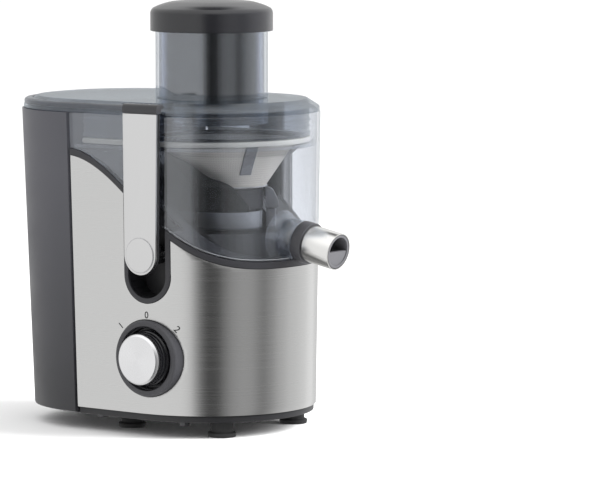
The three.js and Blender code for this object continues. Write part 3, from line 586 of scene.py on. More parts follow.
def clear_plastic(
    name, tint, haze, haze_color, roughness=0.05, edge_tint=0.85, gloss=0.05, glance=0.75, clear_rim=False,
    mirror_tint=(0.95, 0.975, 1),
):
    """Clear plastic seen through by a tint, with gloss that grows towards its edges and a faint haze."""
    look = Look(name, haze_color, 0.25)
    facing = look.node("LayerWeight", Blend=0.5).outputs["Facing"]
    steep = look.node("Math", operation="POWER", _0=facing, _1=4.0)
    share = look.node("Math", operation="MULTIPLY_ADD", _0=steep.outputs[0], _1=glance, _2=gloss)
    smudges = look.noise(26, 4.0)
    sheen = look.between(smudges, roughness * 0.6, roughness * 1.6)
    mirror = look.node("BsdfGlossy", Color=(*mirror_tint, 1), Roughness=sheen)
    waves = look.node("Bump", Strength=0.08, Distance=0.0002, Height=look.noise(60, 2.0))
    look.link(waves.outputs[0], mirror.inputs["Normal"])
    if clear_rim:
        thick = look.node("MapRange", _0=facing, _1=0.44, _2=0.62, _3=0.0, _4=1.0)
    else:
        thick = look.node("Math", operation="POWER", _0=facing, _1=2.0)
    rim = [min(0.95, c * edge_tint ** 3) for c in tint]
    through = look.node("Mix", data_type="RGBA", _0=thick.outputs[0], _6=(*tint, 1), _7=(*rim, 1))
    glass = look.node("BsdfTransparent", Color=through.outputs[2])
    veil = look.between(smudges, haze * 0.75, haze * 1.25)
    look.vary_color(look.between(look.noise(14, 2.0), 0, 1), 0.05)
    look.vary_roughness(smudges, 0.06)
    body = look.node("MixShader", _0=veil, _1=glass.outputs[0], _2=look.surface.outputs[0])
    whole = look.node("MixShader", _0=share.outputs[0], _1=body.outputs[0], _2=mirror.outputs[0])
    look.link(whole.outputs[0], look.output.inputs["Surface"])
    return look.material


STEEL_LOOK = brushed("brushed steel", (0.6, 0.6, 0.595), 0.245, (4, 4, 2400), 0.7, streak=0.012)
POLISHED_LOOK = brushed("polished steel", (0.82, 0.815, 0.8), 0.24, (60, 60, 60), 0.2, streak=0.01)
PLAIN_METAL_LOOK = brushed("turned steel", (0.56, 0.56, 0.57), 0.3, (60, 60, 1200), 0.3)
DARK_METAL_LOOK = brushed("blackened steel", (0.09, 0.09, 0.095), 0.4, (60, 60, 1200), 0.2)
BLACK_LOOK = moulded("black plastic", (0.014, 0.014, 0.016), 0.4)
DECK_LOOK = moulded("smooth black plastic", (0.034, 0.035, 0.039), 0.22, specular_ior_level=0.8)
HOOK_LOOK = moulded("satin black plastic", (0.028, 0.028, 0.031), 0.34)
GLOSS_LOOK = moulded("gloss black plastic", (0.012, 0.012, 0.014), 0.12, depth=0.05)
CAP_LOOK = moulded("cap plastic", (0.013, 0.0132, 0.0155), 0.16, depth=0.04, specular_ior_level=0.62)
GRIP_LOOK = moulded("gloss grip plastic", (0.016, 0.016, 0.018), 0.24)
TRIM_LOOK = moulded("trim plastic", (0.038, 0.038, 0.043), 0.42)
WAVE_LOOK = moulded("edge trim plastic", (0.022, 0.022, 0.026), 0.38)
PLUG_LOOK = moulded("drip stop plastic", (0.085, 0.085, 0.092), 0.5)
RUBBER_LOOK = moulded("rubber", (0.02, 0.02, 0.021), 0.78, grain=1200, depth=0.4)
SEAL_LOOK = moulded("silicone seal", (0.29, 0.285, 0.265), 0.45)
DRUM_LOOK = moulded("basket plastic", (0.018, 0.018, 0.0205), 0.3, specular_ior_level=0.2)
DEFLECTOR_LOOK = moulded("deflector plastic", (0.13, 0.132, 0.142), 0.3)
SWITCH_LOOK = moulded("switch plastic", (0.55, 0.52, 0.45), 0.45)
PRINT_LOOK = moulded("dial print", (0.012, 0.012, 0.013), 0.6)
GREY_LOOK = moulded("dark grey plastic", (0.062, 0.062, 0.068), 0.5)
IRON_LOOK = brushed("laminated iron", (0.2, 0.2, 0.22), 0.45, (20, 20, 2500), 0.2)
CAST_LOOK = moulded("cast aluminium", (0.6, 0.6, 0.61), 0.5, grain=1500, metallic=1.0)
COPPER_LOOK = brushed("wound copper", (0.62, 0.28, 0.12), 0.35, (1800, 60, 60), 0.3)
SMOKE_LOOK = clear_plastic(
    "smoky lid plastic", (0.82, 0.84, 0.87), 0.01, (0.2, 0.22, 0.25), gloss=0.06, mirror_tint=(0.92, 0.965, 1)
)
CLEAR_LOOK = clear_plastic(
    "clear collector plastic", (0.955, 0.965, 0.985), 0.003, (0.4, 0.43, 0.47), edge_tint=0.97, gloss=0.095
)
CHAMBER_LOOK = clear_plastic(
    "chamber plastic", (0.965, 0.967, 0.972), 0.003, (0.15, 0.16, 0.18),
    edge_tint=0.72, gloss=0.004, glance=0.2,
)
# The thicker lid rim: its dark tint and dark haze are partly the thicker smoky plastic and partly painted
# shade of the dark gap over the container beneath it.
LEDGE_SHADE_LOOK = clear_plastic(
    "lid rim plastic", (0.5, 0.52, 0.56), 0.3, (0.1, 0.105, 0.12), gloss=0.05, glance=0.6
)
GUARD_LOOK = clear_plastic(
    "guard plastic", (0.34, 0.345, 0.36), 0.004, (0.1, 0.1, 0.11), gloss=0.008, glance=0.2
)
FROST_LOOK = clear_plastic("frosted plastic", (0.5, 0.515, 0.54), 0.55, (0.3, 0.312, 0.33), 0.2, gloss=0.04)
TUBE_LOOK = clear_plastic(
    "feed tube plastic", (0.92, 0.935, 0.96), 0.004, (0.36, 0.38, 0.42), 0.02, gloss=0.1
)
FOOT_LOOK = moulded("pusher foot plastic", (0.03, 0.031, 0.035), 0.35, specular_ior_level=0.3)
CUP_LOOK = clear_plastic(
    "pusher plastic", (0.165, 0.17, 0.185), 0.015, (0.05, 0.052, 0.058), 0.02,
    edge_tint=1.7, gloss=0.1, clear_rim=True,
)


def shaded_container_look():
    """Dark moulded grey with painted shade that makes it a little darker towards the floor."""
    look = Look("container plastic", (0.041, 0.0413, 0.0487), 0.36)
    # Painted shade: below 0.2 m the colour darkens towards the floor, and the noise adds a faint random tone;
    # smudges carries both.
    height = look.node("SeparateXYZ", Vector=look.position).outputs[2]
    rise = look.between(height, 0.0, 1.0, 0.02, 0.2)
    smudges = look.node("Math", operation="MULTIPLY_ADD", _0=look.noise(9, 3.0), _1=0.15, _2=rise)
    look.vary_color(smudges.outputs[0], 0.56)
    look.vary_roughness(look.noise(38, 4.0), 0.06)
    look.bump(look.noise(2200, 2.0), 0.25, 0.0001)
    return look.material


SHADED_CONTAINER_LOOK = shaded_container_look()


def sieve_look():
    """Stainless filter sheet: rows of fine holes, drawn in colour and bump."""
    look = Look("filter steel", (0.48, 0.452, 0.405), 0.42, metallic=0.2)
    split = look.node("SeparateXYZ", Vector=look.position)
    angle = look.node("Math", operation="ARCTAN2", _0=split.outputs[1], _1=split.outputs[0])
    around = look.node("Math", operation="MULTIPLY", _0=angle.outputs[0], _1=36.0 / math.pi * 2)
    up = look.node("Math", operation="MULTIPLY", _0=split.outputs[2], _1=600.0)
    flat = look.node("CombineXYZ", X=around.outputs[0], Y=up.outputs[0])
    holes = look.node("TexVoronoi", Vector=flat.outputs[0], Scale=1.0, Randomness=0.0)
    disc = look.between(holes.outputs["Distance"], 0.0, 1.0, 0.2, 0.32)
    look.vary_color(disc, 0.16)
    look.vary_roughness(look.noise(60), 0.08)
    look.bump(disc, 0.4, 0.0002)
    return look.material


SIEVE_LOOK = sieve_look()


def spun_look():
    """Aluminium faced on a lathe: rings, with sheen that fans out from the middle."""
    look = Look("spun aluminium", (0.8, 0.8, 0.81), 0.3, metallic=1.0, anisotropic=0.7)
    look.link(look.node("Tangent", axis="Y").outputs[0], look.surface.inputs["Tangent"])
    split = look.node("SeparateXYZ", Vector=look.position)
    flat = look.node("CombineXYZ", X=split.outputs[0], Y=split.outputs[2])
    radius = look.node("VectorMath", operation="LENGTH", _0=flat.outputs[0])
    rings = look.node("TexNoise", noise_dimensions="1D", W=radius.outputs["Value"], Scale=2600.0, Detail=2.0)
    look.vary_color(rings.outputs[0], 0.03)
    look.vary_roughness(rings.outputs[0], 0.04)
    look.bump(rings.outputs[0], 0.05, 0.00005)
    return look.material


DIAL_LOOK = spun_look()
ARM_LOOK = brushed("arm aluminium", (0.68, 0.68, 0.68), 0.36, (2200, 8, 8), 0.5, streak=0.02)


# ---- body ----
def slot_loops(radius, top):
    """The outlines of the front and the rear slot, as distances along the body and heights."""
    loops = []
    for middle in (FRONT_X, REAR_X):
        lower = [(middle + x, SLOT_Z + z) for x, z in circle(radius, 28, math.pi, math.pi)]
        loop = [(middle - radius, top), *lower, (middle + radius, top)]
        loops.append([(along(x, z), z) for x, z in loop])
    front, rear = loops
    return front, [(ROUND_LENGTH - s, z) for s, z in rear]


def wave_run(offset, spacing=2.5):
    """The wave's edge from one seam with the container to the other, moved up by an offset."""
    run = SEAM_TO - SEAM_FROM
    count = round(run / spacing)
    return [(s, wave(s, offset)) for s in (SEAM_FROM + run * i / count for i in range(count + 1))]


def steel_wrap():
    outline = [(SEAM_FROM, BASE_Z), (SEAM_TO, BASE_Z), *reversed(wave_run(-TRIM_DROP - GAP))]
    slots = slot_loops(SLOT_RIM + GAP, 212)
    hole = [(FRONT_X + x, KNOB_Z + z) for x, z in circle(BEZEL_R + GAP, 72)]
    hole = [(along(x, z), z) for x, z in hole]
    cuts = [*slots, hole]
    bm = sheet([outline, *cuts], inside_with_holes(outline, cuts), 0, STEEL, 3.0, 0.3)
    add_piece("steel_sheet", bm, STEEL_LOOK, "base", ["steel_wrap"])


def wave_trim():
    strip = [*wave_run(-TRIM_DROP), *reversed(wave_run(0))]
    rims = slot_loops(SLOT_RIM, 212)
    slots = slot_loops(SLOT_R, 214)
    in_strip = inside_polygon(strip)
    in_rims = [inside_polygon(loop) for loop in rims]
    in_slots = [inside_polygon(loop) for loop in slots]

    def keep(s, z):
        if z > wave(s) or any(cut(s, z) for cut in in_slots):
            return False
        return in_strip(s, z) or any(rim(s, z) for rim in in_rims)

    bm = sheet([strip, *rims, *slots], keep, -0.5, STEEL, 2.0, 0.6)
    add_piece("trim_band", bm, WAVE_LOOK, "base", ["wave_trim"])


def base_cover():
    inset, band_top, wall = 1.6, 16.2, 2.4
    ring = swept(band(inset, inset + wall, FLOOR_Z, band_top), SEAM_FROM, SEAM_TO, 3.0, 0.8)
    add_piece("base_band", ring, BLACK_LOOK, "base", ["bottom_cover"])
    outline = level_outline(FLOOR_Z + 1, inset + 2.2, SEAM_FROM + 1, SEAM_TO - 1, 4.0)
    vents = [softened(band(DRIVE_X - 18, DRIVE_X + 18, y - 1.6, y + 1.6), 1.4) for y in range(-24, 25, 8)]
    plate = level_plate(outline, vents, FLOOR_Z, 14.2, 6.0, 0.3)
    add_piece("base_plate", plate, BLACK_LOOK, "base", [])
    tip = [(-98 + x, y) for x, y in circle(30, 40, math.pi / 2, math.pi)]
    tongue = prism([*tip, (-58, -30), (-58, 30)], "Z", 9, FLOOR_Z, 0.7)
    add_piece("base_tongue", tongue, BLACK_LOOK, "base", [])


def under(node):
    """Where a node of the frame stands on the floor."""
    low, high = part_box(node)
    middle = (low + high) / 2 - ORIGIN
    return Matrix.Translation((middle.x / MM, middle.y / MM, 0))


def feet():
    profile = [(0, 0.6), (6.5, 0.6), (7, 0, 0.2), (10, 0, 0.8), (10, 3), (8, 3.8), (8, 11.2), (0, 11.2)]
    for name in ("foot_front_left", "foot_front_right", "foot_rear_left", "foot_rear_right"):
        pad = turned(profile, 0.5, 48, under(name))
        add_piece(name + "_pad", pad, RUBBER_LOOK, "base", [name])
    pad = turned(band(0, 6, 0, 8.6), 0.6, 40, under("tongue_foot"))
    add_piece("tongue_foot_pad", pad, RUBBER_LOOK, "base", ["tongue_foot"])


# ---- controls ----
def facing_front(x, y, z):
    """Places a part that is turned about Z so that its Z points out of the front."""
    return Matrix.Translation((x, y, z)) @ Matrix.Rotation(math.pi / 2, 4, "X")


def controls():
    place = facing_front(FRONT_X, -BEZEL_FRONT + BEZEL_DEEP, KNOB_Z)
    ring = [
        (4, 0), (BEZEL_R, 0), (BEZEL_R, 9.8, 1), (BEZEL_R - 1.0, BEZEL_DEEP, 1),
        (BEZEL_R - 4.4, BEZEL_DEEP, 0.6), (BEZEL_R - 4.8, 7.4), (21.7, 7.2), (21.5, 2.6), (4, 2.6),
    ]
    add_piece("dial_bezel", turned(ring, 0.5, 128, place), TRIM_LOOK, "base", ["knob_bezel"])
    place = facing_front(FRONT_X, -KNOB_BACK, KNOB_Z)
    body = [
        (0, 0), (KNOB_SKIRT_R - 0.4, 0), (KNOB_SKIRT_R, 0.6), (KNOB_SKIRT_R, 5.4, 0.8), (18.6, 6.2),
        (18.4, 8.2), (KNOB_R, 8.6), (KNOB_R - 0.2, KNOB_TALL), (0, KNOB_TALL),
    ]
    add_piece("dial_body", turned(body, 0.25, 128, place), GLOSS_LOOK, "knob", ["knob_body"])
    centre = (FRONT_X, -KNOB_FACE, KNOB_Z)
    place = facing_front(FRONT_X, -KNOB_FACE + 4.7, KNOB_Z)
    cap = [(0, 0), (KNOB_R - 0.1, 0), (KNOB_R - 0.1, 3.2), (KNOB_R - 1.5, 4.8), (0, 5, 0)]
    bm = turned(cap, 0.35, 128, place)
    add_piece("dial_cap", bm, DIAL_LOOK, "knob", ["knob_cap"], 30, centre)


def digits():
    """The dial's numbers, printed on the steel about the knob."""
    for text, turn, radius in DIGITS:
        curve = bpy.data.curves.new("digit", "FONT")
        curve.body = text
        curve.size = DIGIT_SIZE
        curve.offset = 0.07
        curve.extrude = 0.02
        curve.align_x, curve.align_y = "CENTER", "CENTER"
        holder = in_scene("digit", curve)
        bpy.context.view_layer.update()
        mesh = bpy.data.meshes.new_from_object(holder)
        bpy.data.objects.remove(holder)
        bm = bmesh.new()
        bm.from_mesh(mesh)
        bpy.data.meshes.remove(mesh)
        spin = Matrix.Rotation(math.radians(turn), 4, "Z")
        for vert in bm.verts:
            u, v, lift = spin @ (vert.co + Vector((0, radius, 0)))
            x, z = FRONT_X + u, KNOB_Z + v
            surface = on_body(along(x, z), z)
            vert.co = surface + Vector((0, -0.03 - lift, 0))
        add_piece("dial_digit_" + text, bm, PRINT_LOOK, "base", [])


# ---- collector and spout ----
# Parts of the basket and the chamber are turned about the drive's axis, and parts of the spout about its own.
DRIVE = Matrix.Translation((DRIVE_X, 0, 0))
SPOUT = Matrix.Translation(SPOUT_END) @ Matrix.Rotation(-math.pi / 2 + SPOUT_TILT, 4, "Y")


def collector():
    outline = [*wave_run(GAP), (SEAM_TO, COLLECTOR_TOP), (SEAM_FROM, COLLECTOR_TOP)]
    bm = sheet([outline], inside_polygon(outline), 0, 2.4, 3.0, 0.5)
    add_piece("collector_wall", bm, CLEAR_LOOK, "collector", ["collector"])

    # A pale frosted strip just above the collector's lower edge: a painted highlight standing in for the
    # light line along that edge.
    highlight_strip = [(s, wave(s, 1.9)) for s in np.arange(20, 118, 3.0)]
    highlight_strip += [(s, wave(s, 1.2)) for s in np.arange(116, 19, -3.0)]
    bm = sheet([highlight_strip], inside_polygon(highlight_strip), -0.15, 0.3, 3.0, 0.1)
    add_piece("collector_highlight_strip", bm, FROST_LOOK, "collector", [])

    outline = level_outline(SHELF_Z, 2.6, SEAM_FROM + 1, SEAM_TO, 3.0)
    mouth = [(DRIVE_X + x, y) for x, y in circle(MOUTH_R + 2, 96)]
    bm = level_plate(outline, [mouth], SHELF_Z, SHELF_Z + SHELF, 5.0, 0.4)
    add_piece("collector_shelf", bm, CLEAR_LOOK, "collector", [])


def juice_chamber():
    floor = PLATEAU_Z + GAP
    skirt = CHAMBER_R - 2
    profile = [
        (CHIMNEY_R, floor), (skirt, floor, 2.5), (skirt, CHAMBER_SKIRT_LOW), (CHAMBER_R, CHAMBER_SKIRT_LOW),
        (CHAMBER_R, CHAMBER_TOP), (51.4, SHELF_Z), (51.4, SHELF_Z + SHELF), (MOUTH_R, SHELF_Z + SHELF),
        (CHAMBER_BORE, 195.6), (CHAMBER_BORE, floor + 2, 2), (23.4, floor + 2, 1.5), (23.4, CHIMNEY_TOP),
        (CHIMNEY_R, CHIMNEY_TOP),
    ]
    bm = turned(profile, 0.4, 128, DRIVE)
    add_piece("chamber_cup", bm, CHAMBER_LOOK, "collector", ["juice_chamber"])
    collar = turned(band(21.3, 24, floor + 1, CHIMNEY_TOP + GAP), 0.4, 96, DRIVE)
    add_piece("chamber_collar", collar, FROST_LOOK, "collector", [])


def juice_guard():
    """A smoky guard in front of the basket's lower left, whose top falls away to the right."""
    turns = np.linspace(GUARD_TOP[0][0], GUARD_TOP[-1][0], 141)
    tops = np.interp(turns, [turn for turn, _ in GUARD_TOP], [z for _, z in GUARD_TOP])
    reach = 10
    tops = np.convolve(np.pad(tops, reach, mode="edge"), np.ones(2 * reach + 1) / (2 * reach + 1), "valid")
    view = math.atan2(-math.cos(CAMERA_TURN), math.sin(CAMERA_TURN))
    loop = [(t, GUARD_LOW) for t in turns]
    loop += [(t, z) for t, z in zip(turns[::-1], tops[::-1]) if z > GUARD_LOW + 0.5]

    def on_guard(radius):
        def spot(t, z):
            angle = view + math.radians(t)
            return Vector((DRIVE_X + radius * math.cos(angle), radius * math.sin(angle), z))
        return spot

    bm = slab([loop], inside_polygon(loop), on_guard(GUARD_R), on_guard(GUARD_R - GUARD_WALL), 1.8, 0.2)
    add_piece("juice_guard", bm, GUARD_LOOK, "collector", [])


def juice_deflector():
    """A moulded post beside the drum, with a rounded ear on top."""
    turn = DRIVE @ Matrix.Rotation(CAMERA_TURN, 4, "Z")
    ear = [(26.2, 157.6), (35.6, 157.6, 0.8), (35.2, 163, 3), (31, 171.4, 4), (26.2, 172.4, 0.8)]
    ear = softened(ear, 0.5, 4)
    post = softened(band(26.8, 33.4, PLATEAU_Z + GAP + 1.5, DRUM_Z), 0.6, 3)
    bm = merged(prism(ear, "Y", -5, 5, 1.4, 4, turn), prism(post, "Y", -3, 3, 0.8, 3, turn))
    add_piece("juice_deflector", bm, DEFLECTOR_LOOK, "collector", [])


def spout_boss():
    boss = [
        (10.6, COLLAR_TO + GAP), (COLLAR_R - 0.6, COLLAR_TO + GAP, 0.8), (COLLAR_R - 0.6, 44), (17.5, 52),
        (14, 52), (10.6, 44),
    ]
    bm = turned(boss, 0.5, 64, SPOUT)
    add_piece("spout_boss", bm, CLEAR_LOOK, "collector", [])


def spout():
    bm = turned(band(SPOUT_BORE, SPOUT_R, 0, COLLAR_FROM - 0.3), 0.2, 96, SPOUT)
    add_piece("spout_tube", bm, POLISHED_LOOK, "spout", ["spout_sleeve"])
    pipe = turned(band(INSERT_BORE, INSERT_R, 0.1, INSERT_LENGTH), 0.4, 96, SPOUT)
    lower = [(-x, y) for x, y in circle(INSERT_BORE + 0.2, 48, -math.pi / 2, math.pi)]
    plug = prism(lower, "Z", 0.8, 3, 0.2, place=SPOUT)
    add_piece("drip_stop", merged(pipe, plug), PLUG_LOOK, "spout", ["spout_insert"])
    collar = [
        (12.4, COLLAR_FROM), (COLLAR_R, COLLAR_FROM, 0.8), (COLLAR_R, COLLAR_TO, 0.8), (12.4, COLLAR_TO),
    ]
    bm = turned(collar, 0.3, 96, SPOUT)
    add_piece("spout_ring", bm, TRIM_LOOK, "collector", ["spout_collar"])


# ---- basket ----
def basket():
    centre = (DRIVE_X, 0, 0)
    cone = [(CONE_LOW[0] - 1.6, CONE_LOW[1]), CONE_LOW, CONE_HIGH, (CONE_HIGH[0] - 1.2, CONE_HIGH[1])]
    bm = turned(cone, 0.2, 128, DRIVE)
    add_piece("filter_cone", bm, SIEVE_LOOK, "basket", ["basket_mesh"], 35, centre)

    drum = turned([
        (0, DRUM_Z + 2), (18, DRUM_Z + 2), (18, DRUM_Z), (DRUM_R, DRUM_Z, 1.5), (DRUM_R, 171.6),
        (27.4, DRUM_TOP), (0, DRUM_TOP),
    ], 0.5, 96, DRIVE)
    socket = turned(band(10, 14, 147.4, DRUM_Z + 3), 0.4, 64, DRIVE)
    ring = turned([
        (49.4, 204.7), (BASKET_RIM_R, 204.7), (BASKET_RIM_R, 209.4), (47.2, 209.4), (47.2, 207.1),
        (49.4, 207.1),
    ], 0.3, 128, DRIVE)
    fins = []
    for i in range(3):
        turn = DRIVE @ Matrix.Rotation(2 * math.pi * i / 3 + FIN_TURN, 4, "Z")
        outline = [(33.2, 183.6), (34.6, 183.0), (50.2, 204.8), (50.2, 206.4), (49.0, 206.4)]
        fins.append(prism(outline, "Y", -FIN_HALF, FIN_HALF, 0.8, 4, turn))
    add_piece("basket_fins", merged(*fins), DEFLECTOR_LOOK, "basket", [])
    bm = merged(drum, socket, ring)
    add_piece("basket_body", bm, DRUM_LOOK, "basket", ["basket_frame"])

    lip = turned(band(26.2, 27.7, 172.9, 174.2), 0.3, 128, DRIVE)
    add_piece("filter_lip", lip, POLISHED_LOOK, "basket", [])

    plate = [(0, 173.5), (24.4, 173.5), (24.4, 174.9), (6.5, 174.9, 1), (5.2, 178), (0, 179)]
    plate = turned(plate, 0.3, 96, DRIVE)
    root, tip = 174.6, 176.8
    teeth = []
    for radius, count in ((11, 6), (16, 10), (21, 14)):
        for i in range(count):
            turn = DRIVE @ Matrix.Rotation(2 * math.pi * i / count, 4, "Z")
            tooth = [(radius - 0.9, root), (radius + 0.9, root), (radius + 0.3, tip), (radius - 0.3, tip)]
            teeth.append(prism(tooth, "Y", -0.3, 0.3, 0.05, 1, turn))
    bm = merged(plate, *teeth)
    add_piece("grating_disc", bm, POLISHED_LOOK, "basket", ["grater_disc"], 35, centre)


# ---- lid and pusher ----
def lid():
    rim = swept([
        (LID_INSET, LID_RIM_LOW), (LID_INSET, LID_RIM_TOP, 0.8), (LID_CHAMFER, LID_Z, 0),
        (LID_CHAMFER + 2.4, LID_Z - LID_WALL), (LID_INSET + LID_WALL, LID_RIM_TOP - 1),
        (LID_INSET + LID_WALL, LID_RIM_LOW),
    ], soft=0.3)
    first, last = -FLAT_LENGTH - 2 * END_HALF, ROUND_LENGTH + FLAT_LENGTH
    outline = level_outline(LID_Z, LID_CHAMFER + 0.1, first, last, 3.0)
    hole = circle(TUBE_R - 0.5, 128)
    bm = level_plate(outline, [hole], LID_Z - LID_WALL, LID_Z, 6.0, 0)
    add_piece("lid_cover", merged(rim, bm), SMOKE_LOOK, "lid", ["lid"])

    low, high = SEAM_X + 4 - END_X, ROUND_LENGTH - (SEAM_X + 4 - END_X)
    outer, inner = SKIRT_INSET, SKIRT_INSET + SKIRT_WALL
    ribs = []
    for z, deep, tall in SKIRT_RIBS:
        ribs += [(outer, z, 0), (outer - deep, z + 0.5), (outer - deep, z + tall - 0.5), (outer, z + tall, 0)]
    skirt = swept([*ribs, (outer, 233), (inner, 233), (inner, SKIRT_LOW)], low, high, soft=0.35)
    add_piece("lid_skirt", skirt, SMOKE_LOOK, "lid", [])

    # The thicker rim over the container stops in a step where the front arm's hook comes.
    start = along(FRONT_X - ARM_HALF_TOP - 0.8, LID_RIM_TOP)
    finish = ROUND_LENGTH - along(REAR_X - ARM_HALF_TOP - 0.8, LID_RIM_TOP) - AROUND
    # Its dark look is partly painted shade of the gap beneath.
    ledge = swept([
        (1.1, 229.0), (0.9, 232.2, 0.8), (2.4, 233.6, 0.8), (6.2, 233.6, 0.3), (5.4, 229.4),
    ], finish, start, 3.0, 0.4, 3)
    add_piece("lid_ledge", ledge, LEDGE_SHADE_LOOK, "lid", [])

    seal = swept([
        (SKIRT_INSET - 1.4, 204.4), (SKIRT_INSET - 1.4, 208.3, 1.5), (inner, 208.3), (inner, 204.4),
    ], low, high, soft=0.8)
    add_piece("seal_ring", seal, SEAL_LOOK, "lid", ["lid_seal"])

    tube = turned(band(TUBE_BORE, TUBE_R, TUBE_LOW, TUBE_TOP), 0.5, 128)
    add_piece("feed_tube", tube, TUBE_LOOK, "lid", [])


def pusher():
    cup = turned(band(CUP_BORE, CUP_R, CUP_LOW + CUP_FLOOR, TUBE_TOP), 0.5, 128)
    add_piece("pusher_cup", cup, CUP_LOOK, "pusher", ["pusher_body"])
    foot = [
        (0, CUP_LOW), (CUP_R - 0.9, CUP_LOW), (CUP_R, CUP_LOW + 1), (CUP_R, CUP_LOW + CUP_FLOOR),
        (0, CUP_LOW + CUP_FLOOR),
    ]
    add_piece("pusher_foot", turned(foot, 0.3, 128), FOOT_LOOK, "pusher", [])
    dome = [
        (0, TUBE_TOP + 0.4), (41, TUBE_TOP + 0.4), (41, CAP_LOW), (CAP_R, CAP_LOW, 0.6),
        (CAP_R, CAP_SIDE_TOP, 2), (CAP_R - 1.4, 299, 1.5), (CAP_R - 6, 301.2, 3), (30, 303.6, 5),
        (15, 305.1, 7), (0, CAP_APEX),
    ]
    bm = turned(dome, 0.4, 128, steps=5)
    add_piece("pusher_top", bm, CAP_LOOK, "pusher", ["pusher_cap"], 50)


# ---- pulp container ----
def container():
    low, high = -FLAT_LENGTH - 2 * END_HALF + 2.0, -FLAT_LENGTH - 2.0
    outer, inner = -0.6, 1.8
    wall = swept([
        (outer, 12.2, 1.5), (outer, COLLECTOR_TOP), (inner, COLLECTOR_TOP), (inner, 15), (inner + 8, 15),
        (inner + 8, 12.2),
    ], low, high, 2.5, 0.4)
    add_piece("container_shell", wall, SHADED_CONTAINER_LOOK, "container", ["pulp_container"])
    floor = prism(level_outline(13, 3, low, high, 4.0), "Z", 12.4, 14.9, 0)
    add_piece("container_floor", floor, SHADED_CONTAINER_LOOK, "container", [])
    bm = bmesh.new()
    corners = []
    for x in (-1.8, -4.2):
        for side, z in ((-1, 12.4), (1, 12.4), (1, 199.8), (-1, 199.8)):
            corners.append(bm.verts.new(narrowed(SEAM_X + x, side * (RADIUS - 2), z)))
    for ring in ((0, 1, 2, 3), (7, 6, 5, 4), (0, 4, 5, 1), (1, 5, 6, 2), (2, 6, 7, 3), (3, 7, 4, 0)):
        bm.faces.new([corners[i] for i in ring])
    rounded(bm, list(bm.edges), 0.4, 2)
    add_piece("container_inner_wall", bm, SHADED_CONTAINER_LOOK, "container", [])

    middle = -FLAT_LENGTH - END_HALF
    strip = softened(band(middle - 13, middle + 13, 20, 134), 5, 6)
    bm = sheet([strip], inside_polygon(strip), -1.9, -0.9, 3.0, 0.3)
    add_piece("grip_strip", bm, GRIP_LOOK, "container", ["container_grip"])


# ---- locking arms ----
def arm(side):
    body = side + "_arm"
    front = side == "front"
    turn = Matrix.Rotation(0 if front else math.pi, 4, "Z")
    place = Matrix.Translation((FRONT_X if front else REAR_X, 0, 0)) @ turn

    def outline(inset):
        top = ARM_HALF_TOP - inset
        lower = [(x, PIVOT_Z + z) for x, z in circle(ARM_HALF_LOW - inset, 40, math.pi, math.pi)]
        return [(-top, ARM_TOP), *lower, (top, ARM_TOP)]

    core = prism(outline(0), "Y", -ARM_FACE + 2.2, -ARM_BACK, 0.8, place=place)
    eye = softened(band(-ARM_BACK - 1, -PIVOT_Y + 5, PIVOT_Z - 6, PIVOT_Z + 6), 5, 5)
    lug = prism(eye, "X", -9, 9, 0.5, place=place)
    add_piece(f"arm_bar_{side}", merged(core, lug), BLACK_LOOK, body, [f"arm_core_{side}"])
    face = prism(outline(0.2), "Y", -ARM_FACE, -ARM_FACE + 1.9, 0.45, place=place)
    add_piece(f"arm_plate_{side}", face, ARM_LOOK, body, [f"arm_face_{side}"])
    drop, slope = (0, 0) if front else (0.8, 1.4)
    hook = softened([
        (-ARM_FACE, ARM_TOP + 0.3), (-ARM_BACK + 0.8, ARM_TOP + 0.3), (-ARM_BACK + 1.2, HOOK_LOW - drop, 1.2),
        (-HOOK_TIP, HOOK_LOW - drop), (-HOOK_TIP, HOOK_TOP - drop - slope * 0.3, 1.2),
        (-ARM_FACE, HOOK_TOP - drop - slope, 2.2),
    ], 0.3, 4)
    cap = prism(hook, "X", -ARM_HALF_TOP, ARM_HALF_TOP, 0.8, place=place)
    add_piece(f"arm_cap_{side}", cap, HOOK_LOOK, body, [f"arm_hook_{side}"])
    spot = place @ facing_front(0, -ARM_FACE - 0.02, PIVOT_Z)
    groove = turned(band(BADGE_R + 0.1, BADGE_R + 0.5, 0, 0.25), 0.05, 96, spot)
    add_piece(f"arm_groove_{side}", groove, PLAIN_METAL_LOOK, body, [], 30)
    badge = turned(band(0, BADGE_R, 0, 0.5), 0.25, 96, spot)
    add_piece(f"arm_button_{side}", badge, ARM_LOOK, body, [], 30)


# ---- carried CAD nodes ----
CARRIED = {
    DECK_LOOK: ("motor_deck",),
    BLACK_LOOK: (
        "housing", "slot_liner_front", "slot_liner_rear", "cord_gland", "drive_coupling",
        "interlock_switch",
    ),
    GREY_LOOK: ("brush_holder_left", "brush_holder_right", "cooling_fan"),
    PLAIN_METAL_LOOK: (
        "knob_shaft", "motor_shaft", "upper_bearing", "lower_bearing", "arm_pin_front", "arm_pin_rear",
    ),
    DARK_METAL_LOOK: ("cover_screw_1", "cover_screw_2", "cover_screw_3", "cover_screw_4"),
    SWITCH_LOOK: ("speed_switch",),
    IRON_LOOK: ("stator_core", "armature_core"),
    COPPER_LOOK: ("field_coil_front", "field_coil_rear", "commutator"),
    CAST_LOOK: ("upper_bracket", "lower_bracket"),
    RUBBER_LOOK: ("drive_seal",),
}


def carried_nodes():
    for look, names in CARRIED.items():
        for name in names:
            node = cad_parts[name]
            node.data.materials.clear()
            node.data.materials.append(look)


